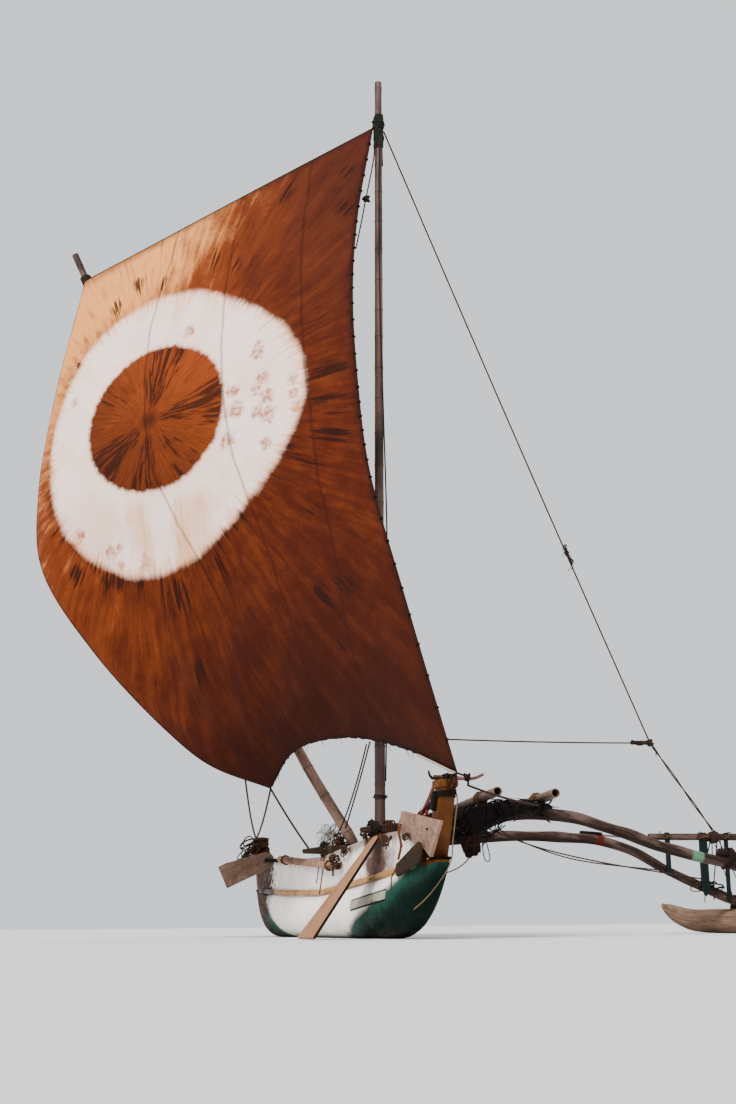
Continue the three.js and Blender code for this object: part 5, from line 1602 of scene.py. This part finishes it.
class CANOE_OT_outrigger(bpy.types.Operator):
    """Make the booms, the doubling log, the float and their lashings"""
    bl_idname = "canoe.outrigger"
    bl_label = "Outrigger"

    def execute(self, context):
        s, r = settings("spars"), settings("ropes")
        green, red = seen(0.46, 0.60, 0.50), seen(0.46, 0.13, 0.11)
        coir = rope_finish("lashing_rope", r.coir)
        old = rope_finish("old_lashing_rope", dull(r.tarred, 1.8))
        brown = rope_finish("brown_lashing_rope", seen(0.40, 0.29, 0.22))
        for name, fore, band in (("fore", True, (4.18, 0.09, green)), ("aft", False, (3.97, 0.07, red))):
            route = boom_line(fore)
            stops = [(0, boom_radius(0, fore) * 0.75, 0), (0.012, boom_radius(0.002, fore), 0)]
            stops += log_stops(route.length, lambda t: boom_radius(t, fore), 0.07)[1:]
            log = pole(f"{name}_boom_log", route, stops, 16, 0.22, X, 0.0)
            smooth(log, 50)
            middle, half, paint = band
            finish = log_finish(f"{name}_boom_bark", s.log, [(middle - half, middle + half, paint)])
            dress(log, finish, [f"{name}_boom"])

            x, seat = boom_seat(fore)
            runs = []
            for i in range(6):
                centre, lean = (x, -0.042 + 0.017 * i, seat - 0.029), 0.006 * (-1) ** i
                runs.append((box_loop(centre, 0.090, 0.122, X, Z, 0.06, lean), 0.010))
            lash(f"{name}_boom_loops", runs, brown, [f"{name}_boom_lashing"])
            runs = []
            for k, y in enumerate((-0.215, 0.215)):
                centre = Vector((x, y * side_half(x) / HALF_BEAM, seat))
                runs.append(winding(centre, Y, 0.074, 0.10, 0.009, 6, 20 + k, 0.5))
                runs.append(winding(centre, (0, 1, 0.3), 0.084, 0.06, 0.009, 3, 30 + k, 0.7))
            lash(f"{name}_gunwale_windings", runs, old)
            # Loose rope: where it hangs, how far it spreads, how many loops; the lee side first
            heaps = (
                [((x - 0.17, -0.215, seat - 0.07), (0.04, 0.05, 0.05), 8),
                 ((3.28, -0.262, 1.02), (0.09, 0.05, 0.07), 12),
                 ((3.90, -0.225, 1.03), (0.06, 0.03, 0.05), 6),
                 ((x - 0.10, 0.22, seat - 0.02), (0.12, 0.08, 0.08), 8)]
                if fore else
                [((1.33, -0.310, 0.89), (0.17, 0.05, 0.07), 12),
                 ((1.64, -0.262, 1.00), (0.12, 0.05, 0.05), 8),
                 ((x + 0.12, -0.215, seat), (0.13, 0.08, 0.05), 9),
                 ((0.70, -0.07, 1.17), (0.12, 0.10, 0.08), 12),
                 ((x - 0.10, 0.22, seat - 0.02), (0.12, 0.08, 0.08), 8)]
            )
            loose = []
            for k, (centre, spread, count) in enumerate(heaps):
                loose += tangle(centre, spread, 0.009, count, 80 + 10 * fore + k)
            bundled = rope_finish(f"{name}_bundle_rope", seen(0.44, 0.34, 0.27))
            lash(f"{name}_loose_bundle", loose, bundled)
            hung = (
                [([(3.70, -0.205, 1.17), (3.73, -0.235, 1.10), (3.90, -0.262, 0.94), (3.92, -0.300, 0.80)],
                  0.013),
                 ([(3.74, -0.205, 1.17), (3.78, -0.240, 1.08), (3.95, -0.262, 0.93)], 0.008),
                 ([(3.80, -0.285, 0.72), (3.80, -0.335, 0.63), (3.815, -0.350, 0.50)], 0.008)]
                if fore else
                [([(x + 0.10, -0.215, seat), (x + 0.16, -0.262, 0.95), (x + 0.18, -0.290, 0.78),
                   (x + 0.20, -0.335, 0.52)], 0.008),
                 ([(x + 0.02, -0.215, seat), (x - 0.05, -0.262, 0.93), (x - 0.10, -0.300, 0.66)], 0.007)]
            )
            straps = [(Route(points, 60).even(14), thick) for points, thick in hung]
            tan = rope_finish(f"{name}_strap_rope", seen(0.55, 0.36, 0.20))
            lash(f"{name}_hung_straps", straps, tan)

            runs = []
            for i in range(9):
                shift = -0.052 + 0.013 * i
                loop = []
                for j in range(27):
                    turn = 2 * math.pi * j / 26
                    c, d = math.cos(turn), math.sin(turn)
                    out = 0.095 * c + shift * (1 if i % 2 else -1) * abs(d)
                    loop.append(Vector((x + out, FLOAT_Y + shift, 0.335 + 0.155 * d)))
                runs.append((loop, 0.011))
            lash(f"{name}_float_loops", runs, coir, [f"{name}_float_lashing"])

        route = Route(middle_line("fore_boom_doubler", 12))
        stops = log_stops(route.length, lambda t: 0.055 - 0.004 * t, 0.08)
        stops = [(0, 0.034, 0), (0.01, 0.050, 0)] + stops[1:]
        second = pole("boom_doubling", route, stops, 14, 0.2, X, 5.0)
        smooth(second, 50)
        dress(second, log_finish("doubling_bark", dull(s.log, 0.5)), ["fore_boom_doubler"])
        # Columns: name, start, end, radius, colour
        for name, start, end, thick, paint in (
            ("boom_stick", (0.43, 3.20, 1.298), (0.44, 3.51, 1.276), 0.024, dull(s.log, 0.25)),
            ("boom_slip", (0.44, 3.50, 1.262), (0.46, 3.84, 1.236), 0.012, seen(0.72, 0.62, 0.54)),
        ):
            short = Route([start, end])
            reach = short.length
            shape = ((0, 0.6), (0.01, 1), (reach / 2, 1.15), (reach - 0.01, 0.9), (reach, 0.5))
            stick = pole(name, short, [(at, thick * share, 0) for at, share in shape], 10, 0.3, seed=3.0)
            smooth(stick, 50)
            dress(stick, log_finish(name + "_bark", paint))
        runs = []
        for k, share in enumerate((0.10, 0.45, 0.85)):
            place = route.at(route.length * share)
            along = route.at(route.length * share + 0.05) - place
            runs.append(winding(place - Vector((0, 0, 0.055)), along, 0.112, 0.07, 0.009, 5, 40 + k, 0.4))
        for start, end in (
            ((2.62, 4.75, 0.66), (2.58, 5.28, 0.42)), ((2.50, 4.95, 0.58), (2.60, 5.24, 0.30)),
            ((2.66, 5.00, 0.60), (2.52, 5.42, 0.52)), ((0.52, 5.02, 1.20), (0.47, 4.86, 0.62)),
            ((0.44, 5.16, 1.20), (0.46, 5.05, 0.56)),
        ):
            runs.append((hanging(start, end, 0.0, 8), 0.008))
        runs += tangle((2.545, 5.12, 0.53), (0.09, 0.16, 0.10), 0.009, 8, 47)
        runs += tangle((0.46, 5.00, 0.58), (0.10, 0.22, 0.08), 0.009, 9, 48)
        lash("doubling_windings", runs, old)

        rings, grains = [], []
        for i in range(61):
            t = 0.5 - 0.5 * math.cos(math.pi * i / 60)
            x = -1.775 + 6.54 * t
            out = abs(2 * t - 1)
            radius = 0.168 * math.sqrt(max(0.05, 1 - out ** 5))
            centre = 0.163 + 0.220 * (max(0, out - 0.6) / 0.4) ** 2
            middle, up, aside = Vector((x, FLOAT_Y, centre)), Vector(Z), Vector(Y)
            ring, around = round_ring(middle, up, aside, radius * 0.985, 20, 0.10, x)
            rings.append([Vector((p.x, p.y, max(p.z, centre - 0.97 * radius, 0.0))) for p in ring])
            grains.append([(x, c, d) for c, d in around])
        log = grow("float_log", rings, grains)
        smooth(log, 50)
        dress(log, drift_finish(s.drift), ["outrigger_float"])
        return {"FINISHED"}


POLE_LINES = {
    "inner": [(3.185, 1.075, 1.575), (0.025, 1.110, 1.400)],
    "outer": [(3.185, 1.760, 1.565), (0.025, 1.800, 1.420)],
}
# Columns: y, underside, top of the bed at its fore end
BED_SECTION = [
    (0.70, 1.00, 1.34), (0.80, 0.95, 1.44), (0.88, 0.96, 1.46), (1.00, 1.13, 1.48),
    (1.22, 1.25, 1.505), (1.56, 1.37, 1.525), (1.90, 1.45, 1.50), (2.01, 1.46, 1.49),
]
# Columns: x, lift of the bed, share of its depth
BED_LENGTH = [
    (0.215, -0.125, 0.3), (0.375, -0.12, 0.4), (1.075, -0.08, 0.45),
    (1.775, -0.04, 0.6), (2.375, -0.01, 0.9), (2.95, 0.0, 1.0),
]
BED_TOP = 1.53


def between(table, at):
    """The rest of a table's row at a value of its first column."""
    at = min(max(at, table[0][0]), table[-1][0])
    for low, high in zip(table, table[1:]):
        if at <= high[0]:
            share = (at - low[0]) / (high[0] - low[0])
            return [a + (b - a) * share for a, b in zip(low[1:], high[1:])]


def bed_limits(x, y):
    """Underside and top of the platform's bed at a place."""
    floor, roof = between(BED_SECTION, y)
    lift, share = between(BED_LENGTH, x)
    return [BED_TOP - (BED_TOP - z) * share + lift for z in (floor, roof)]


class CANOE_OT_platform(bpy.types.Operator):
    """Make the platform: open-ended bamboo poles over a bed of sticks, nets and rope"""
    bl_idname = "canoe.platform"
    bl_label = "Platform"

    def execute(self, context):
        s, r, spars = settings("platform"), settings("ropes"), settings("spars")
        for name, line in POLE_LINES.items():
            route = Route(line)
            stops = bamboo_stops(route.length, 0.053, 0.047, spars.joint_gap, 30 if name == "inner" else 31)
            rod = pole(f"platform_bamboo_{name}", route, stops, 16, 0.03, Z, 2.0)
            smooth(rod, 50)
            finish = bamboo_finish(f"platform_bamboo_{name}_skin", dull(spars.bamboo, 1.25),
                                   spars.bamboo_dark)
            dress(rod, finish, [f"platform_pole_{name}"])

        bed = copy_of("brush_core", "platform_bed")
        modify(bed, "REMESH", mode="VOXEL", voxel_size=0.035)
        for vertex in bed.data.vertices:
            place = vertex.co.copy()
            centre = Vector((place.x, 1.34, 1.28))
            vertex.co = centre + (place - centre) * 0.86
            rough = noise.noise(place * 9), noise.noise(place * 9 + Vector((5, 5, 5)))
            vertex.co += Vector((0, *rough)) * 0.035
        smooth(bed, 30)
        dress(bed, plain_finish("brush_shadow", dull(s.brush, 0.5), 14), ["platform_bed"])

        # Four sticks are made, and each is laid many times within the bed
        chance = random.Random(12)
        kinds = []
        for k in range(4):
            bend = [(0, 0, 0)]
            for i in range(1, 5):
                bend.append((0.25 * i, chance.uniform(-0.04, 0.04), chance.uniform(-0.03, 0.03)))
            route = Route(bend, 40)
            thick = 0.010 + 0.004 * k
            stops = log_stops(route.length, lambda t: thick * (1 - 0.5 * t), 0.14)
            kinds.append(pole(f"stick_{k}", route, stops, 5, 0.3, seed=float(k)))
        laid = []
        low, high = box("platform_bed")
        for i in range(s.sticks):
            kind = kinds[i % 4]
            mesh = kind.data.copy()
            x = low.x + 0.05 + (high.x - low.x - 0.1) * chance.random() ** 0.8
            share = (x - low.x) / (high.x - low.x)
            y = chance.uniform(0.80, 1.90)
            floor, roof = bed_limits(x, y)
            z = chance.uniform(floor, roof)
            across = chance.random() < 0.6
            turn = math.radians(chance.gauss(90, 22) if across else chance.gauss(0, 16))
            tilt = math.radians(chance.gauss(0, 9))
            scale = chance.uniform(0.45, 1.0)
            away = Vector((math.cos(turn) * math.cos(tilt), math.sin(turn) * math.cos(tilt),
                           math.sin(tilt)))
            matrix = away.to_track_quat("X", "Z").to_matrix()
            for vertex in mesh.vertices:
                middle = Vector((vertex.co.x - 0.5, vertex.co.y, vertex.co.z)) * scale
                place = Vector((x, y, z)) + matrix @ middle
                place.x = min(max(place.x, low.x - 0.02), high.x + 0.06)
                place.y = min(max(place.y, low.y - 0.03), high.y + 0.03)
                floor, roof = bed_limits(place.x, place.y)
                place.z = min(max(place.z, floor - 0.012), roof + 0.02)
                vertex.co = place
            laid.append(placed("stick_copy", mesh))
        heap = join("brushwood", laid)
        smooth(heap, 60)
        # The sticks' dark bark is partly their own colour and partly painted shade
        dress(heap, log_finish("brush_bark_and_painted_shade", s.brush))
        for kind in kinds:
            bpy.data.objects.remove(kind)

        # Net and old rope hang over the fore side, with loops below
        runs = []
        for i in range(26):
            y = 0.74 + 1.1 * chance.random()
            top = 1.50 - 0.35 * max(0, 1.0 - y)
            fall = chance.uniform(0.12, 0.42) * (1.3 if y < 1.15 else 0.6)
            x = 2.90 + chance.uniform(-0.1, 0.04)
            run = []
            for j in range(7):
                t = j / 6
                aside = y + 0.10 * math.sin(t * 5 + i) * t
                run.append((x + 0.03 * math.sin(j * 2.1 + i), aside, max(top - fall * t, 0.93)))
            runs.append((Route(run, 60).even(18), chance.choice((0.006, 0.009, 0.013))))
        for i in range(4):
            start, end = (2.6 + 0.06 * i, 0.95 + 0.05 * i, 1.10), (2.66 + 0.06 * i, 1.35 - 0.06 * i, 1.24)
            runs.append((hanging(start, end, 0.05), 0.007))
        drop = [(2.88, 0.99, 1.05), (2.90, 0.985, 0.95), (2.90, 1.01, 0.84), (2.90, 1.04, 0.82),
                (2.90, 1.065, 0.85), (2.89, 1.05, 0.97), (2.88, 1.02, 1.08)]
        runs.append((Route(drop, 80).even(30), 0.006))
        drop = [(2.86, 0.86, 0.96), (2.86, 0.83, 0.86), (2.83, 0.72, 0.76), (2.80, 0.55, 0.70),
                (2.75, 0.42, 0.72), (2.70, 0.27, 0.76)]
        runs.append((Route(drop, 80).even(30), 0.007))
        lash("hanging_net", runs, rope_finish("old_net", r.tarred))

        deselect()
        bpy.ops.mesh.primitive_ico_sphere_add(subdivisions=4, radius=0.12, location=(0, 0, 0))
        lump = added("fibre_lump")
        for vertex in lump.data.vertices:
            unit = vertex.co.normalized()
            waves = ((0.35, 2.2), (0.25, 6), (0.12, 16))
            grown = 0.12 * (1 + sum(share * noise.noise(unit * size) for share, size in waves))
            vertex.co = Vector((2.84, 0.875, 1.00)) + unit * Vector((1, 0.80, 1.05)) * grown
        smooth(lump, 180)
        dress(lump, plain_finish("fibre", seen(0.26, 0.16, 0.09), 40))

        poles = []
        for line in POLE_LINES.values():
            route = Route(line)
            for k, share in enumerate((0.19, 0.86)):
                place = route.at(route.length * share)
                poles.append(winding(place, X, 0.053, 0.10, 0.009, 6, 50 + k, 0.5))
        lash("platform_windings", poles, rope_finish("platform_rope", r.coir))
        return {"FINISHED"}


class CANOE_OT_rail(bpy.types.Operator):
    """Make the rail pole, its painted posts and their knots"""
    bl_idname = "canoe.rail"
    bl_label = "Rail"

    def execute(self, context):
        s, r, spars = settings("boards"), settings("ropes"), settings("spars")
        route = Route([(RAIL_X, 4.15, RAIL_Z), (RAIL_X, 5.80, RAIL_Z)])
        stops = [(0, 0.030, 0), (0.008, 0.043, 0)] + log_stops(1.65, lambda t: 0.045, 0.08)[1:-1]
        stops += [(1.642, 0.043, 0), (1.65, 0.030, 0)]
        rail = pole("rail_log", route, stops, 14, 0.12, Z, 6.0)
        smooth(rail, 50)
        dress(rail, log_finish("rail_bark", dull(spars.log, 1.2)), ["rail"])
        paint = paint_finish("post_paint", s.post, seen(0.40, 0.30, 0.22), 0.4, Z)
        posts, runs = [], []
        # Columns: y, half width, foot, height of the point
        table = ((4.391, 0.030, 0.74, 0), (4.905, 0.055, 0.48, 0.11), (5.240, 0.025, 0.40, 0))
        for i, (y, half, low, point) in enumerate(table):
            posts.append(stake("rail_stake", 0.530, y, 0.0225, half, low, 1.30, point, i))
            for k in range(3):
                lean = 0.012 * (-1) ** k
                place = (0.500, y + 0.010 * (k - 1), RAIL_Z + 0.008 * (k - 1))
                runs.append((box_loop(place, 0.084, half + 0.012, X, Y, 0.02, lean), 0.008))
            runs += tangle((0.50, y, 1.26), (0.085, half + 0.02, 0.06), 0.006, 4, 90 + i)
        dress(join("rail_posts", posts), paint)
        lash("rail_windings", runs, rope_finish("rail_rope", dull(r.coir, 0.8)))

        # Slack lines from the platform out to the rail and the float
        near = [(2.3, 1.55, 1.36), (1.5, 1.71, 1.26), (1.0, 2.75, 0.955), (0.5, 4.38, 0.80)]
        far = [(2.1, 1.30, 1.25), (1.6, 2.1, 1.06), (1.0, 3.2, 0.90), (0.5, 4.87, 0.70)]
        lines = [(Route(points, 80).even(40), 0.009) for points in (near, far)]
        for y, end in ((5.05, (0.50, 5.30, 0.50)), (5.12, (0.52, 5.50, 0.42))):
            lines.append((hanging((0.54, y, 1.22), end, 0.0, 8), 0.006))
        lash("slack_lines", lines, plain_finish("slack_rope", r.stay, 60))
        return {"FINISHED"}


class CANOE_OT_boards(bpy.types.Operator):
    """Make the leeboard, the steering boards, the spare board and the spare pole"""
    bl_idname = "canoe.boards"
    bl_label = "Boards"

    def execute(self, context):
        s, r, spars = settings("boards"), settings("ropes"), settings("spars")
        blade = (0, -0.60, -0.80)
        lee = board_finish("leeboard_wood", s.tan, blade, 0.7, seen(0.62, 0.42, 0.27), 8, 2.6)
        plank = planed("leeboard_plank", ["leeboard"])
        low, high = box("leeboard")
        middle = (low.x + high.x) / 2
        for vertex in plank.data.vertices:
            down = (high.z - vertex.co.z) / (high.z - low.z)
            vertex.co.x = middle + (vertex.co.x - middle) * (1.12 + 0.22 * down) - 0.02 * down
        dress(plank, lee, ["leeboard"], "leeboard")
        # The fore edge's faces take dark wood as painted shade, for the edge turned from the light
        plank.data.materials.append(board_finish("leeboard_edge_painted_shade", seen(0.20, 0.12, 0.09), blade, 0.6))
        for face in plank.data.polygons:
            if face.normal.x > 0.5:
                face.material_index = 1
        near = board_finish("steering_wood", s.pale, (-0.95, 0, 0.2), 0.9, seen(0.36, 0.28, 0.23), 3, 7)
        far = board_finish("far_steering_wood", dull(s.pale, 0.60), (0, -0.94, -0.34), 0.9,
                           seen(0.36, 0.27, 0.21), 3, 6)
        for end, bevel, wood in (("fore", 0.010, near), ("aft", 0.008, far)):
            node = f"{end}_steering_board"
            dress(planed(f"steering_board_{end}", [node], bevel, 3), wood, [node], node)
        # The spare board's dark wood is partly its own old wood and partly painted shade, for the shade it
        # hangs in
        spare = board_finish("spare_wood_and_painted_shade", s.dark, (0.98, 0, 0.2), 0.6)
        paddle = planed("spare_paddle", ["spare_board"], 0.008, 3)
        low, high = box("spare_board")
        for vertex in paddle.data.vertices:
            vertex.co.x = low.x + (vertex.co.x - low.x) * 0.86
            vertex.co.z = low.z + 0.01 + (vertex.co.z - low.z) * 0.86
        dress(paddle, spare, ["spare_board"])
        coir = rope_finish("becket_rope", r.coir)
        becket = copy_of("becket", "leeboard_becket")
        smooth(becket, 50)
        dress(becket, plain_finish("becket_yarn", r.coir, 60), ["leeboard_becket"])

        # The spare pole just clears the plank side
        thick = 0.043
        y = -(HALF_BEAM + thick + 0.0004)
        route = Route([(-1.875, y, 1.040), (1.305, y, 0.830)])
        stops = bamboo_stops(route.length, 0.050, thick, spars.joint_gap, 44)
        rod = pole("spare_bamboo", route, stops, 14, 0.03, Z, 7.0)
        smooth(rod, 50)
        dress(rod, bamboo_finish("spare_bamboo_skin", seen(0.74, 0.59, 0.45), seen(0.50, 0.34, 0.22)),
              ["spare_pole"])
        runs = []
        for k, share in enumerate((0.1, 0.87)):
            place = route.at(route.length * share)
            runs.append(winding(place, (1, 0, -0.07), thick, 0.06, 0.008, 5, 60 + k, 0.4))
        lash("spare_pole_windings", runs, coir)
        return {"FINISHED"}


class CANOE_OT_stage(bpy.types.Operator):
    """Make the floor, the light and the camera"""
    bl_idname = "canoe.stage"
    bl_label = "Stage"

    def execute(self, context):
        s = settings("stage")
        deselect()
        bpy.ops.mesh.primitive_circle_add(vertices=96, radius=260, fill_type="NGON", location=(0, 0, 0))
        floor = added("studio_floor")
        f = Finish("studio_floor_paint")
        paint = f.mix(f.noise(f.place(), 0.4, 2), s.floor, dull(s.floor, 0.97))
        floor.data.materials.append(f.done(paint, 0.9))

        sun_data = bpy.data.lights.new("soft_sun", "SUN")
        sun_data.energy = s.sun
        sun_data.angle = math.radians(24)
        sun = placed("soft_sun", sun_data)
        sun.rotation_euler = Vector((-0.75, 0.62, -0.90)).to_track_quat("-Z", "Y").to_euler()

        world = bpy.data.worlds.new("studio_light")
        world.use_nodes = True
        background = world.node_tree.nodes["Background"]
        background.inputs["Color"].default_value = (*s.sky, 1)
        background.inputs["Strength"].default_value = 1.15
        context.scene.world = world

        camera_data = bpy.data.cameras.new("photograph_view")
        camera_data.lens = 51.53
        camera_data.sensor_width = 36
        camera_data.clip_end = 1000
        camera = placed("photograph_view", camera_data)
        camera.location = (19.775, -5.0, 0.14)
        yaw, pitch, roll = (math.radians(a) for a in (-15.54, 13.31, -0.54))
        forward = Vector((-math.cos(pitch) * math.cos(yaw), -math.cos(pitch) * math.sin(yaw),
                          math.sin(pitch)))
        turn = forward.to_track_quat("-Z", "Y").to_matrix() @ Matrix.Rotation(roll, 3, "Z")
        camera.rotation_euler = turn.to_euler()
        context.scene.camera = camera
        return {"FINISHED"}


class CANOE_PT_panel(bpy.types.Panel):
    """Lists the canoe's steps"""
    bl_label = "Canoe"
    bl_idname = "CANOE_PT_panel"
    bl_space_type = "VIEW_3D"
    bl_region_type = "UI"
    bl_category = "Canoe"

    def draw(self, context):
        for step in STEPS:
            self.layout.operator(step.bl_idname)
        for name in SETTINGS:
            box = self.layout.box()
            group = getattr(context.scene, name)
            for prop in type(group).__annotations__:
                box.prop(group, prop)


STEPS = [
    CANOE_OT_hull,
    CANOE_OT_stems,
    CANOE_OT_thwarts,
    CANOE_OT_outrigger,
    CANOE_OT_platform,
    CANOE_OT_rail,
    CANOE_OT_boards,
    CANOE_OT_spars,
    CANOE_OT_sail,
    CANOE_OT_stay,
    CANOE_OT_lines,
    CANOE_OT_stage,
]


def register():
    for group in (*SETTINGS.values(), *STEPS, CANOE_PT_panel):
        bpy.utils.register_class(group)
    for name, group in SETTINGS.items():
        setattr(bpy.types.Scene, name, PointerProperty(type=group))


def unregister():
    for name in SETTINGS:
        delattr(bpy.types.Scene, name)
    for group in reversed((*SETTINGS.values(), *STEPS, CANOE_PT_panel)):
        bpy.utils.unregister_class(group)


def main():
    register()
    for step in STEPS:
        area, name = step.bl_idname.split(".")
        getattr(getattr(bpy.ops, area), name)()


if __name__ == "__main__":
    main()
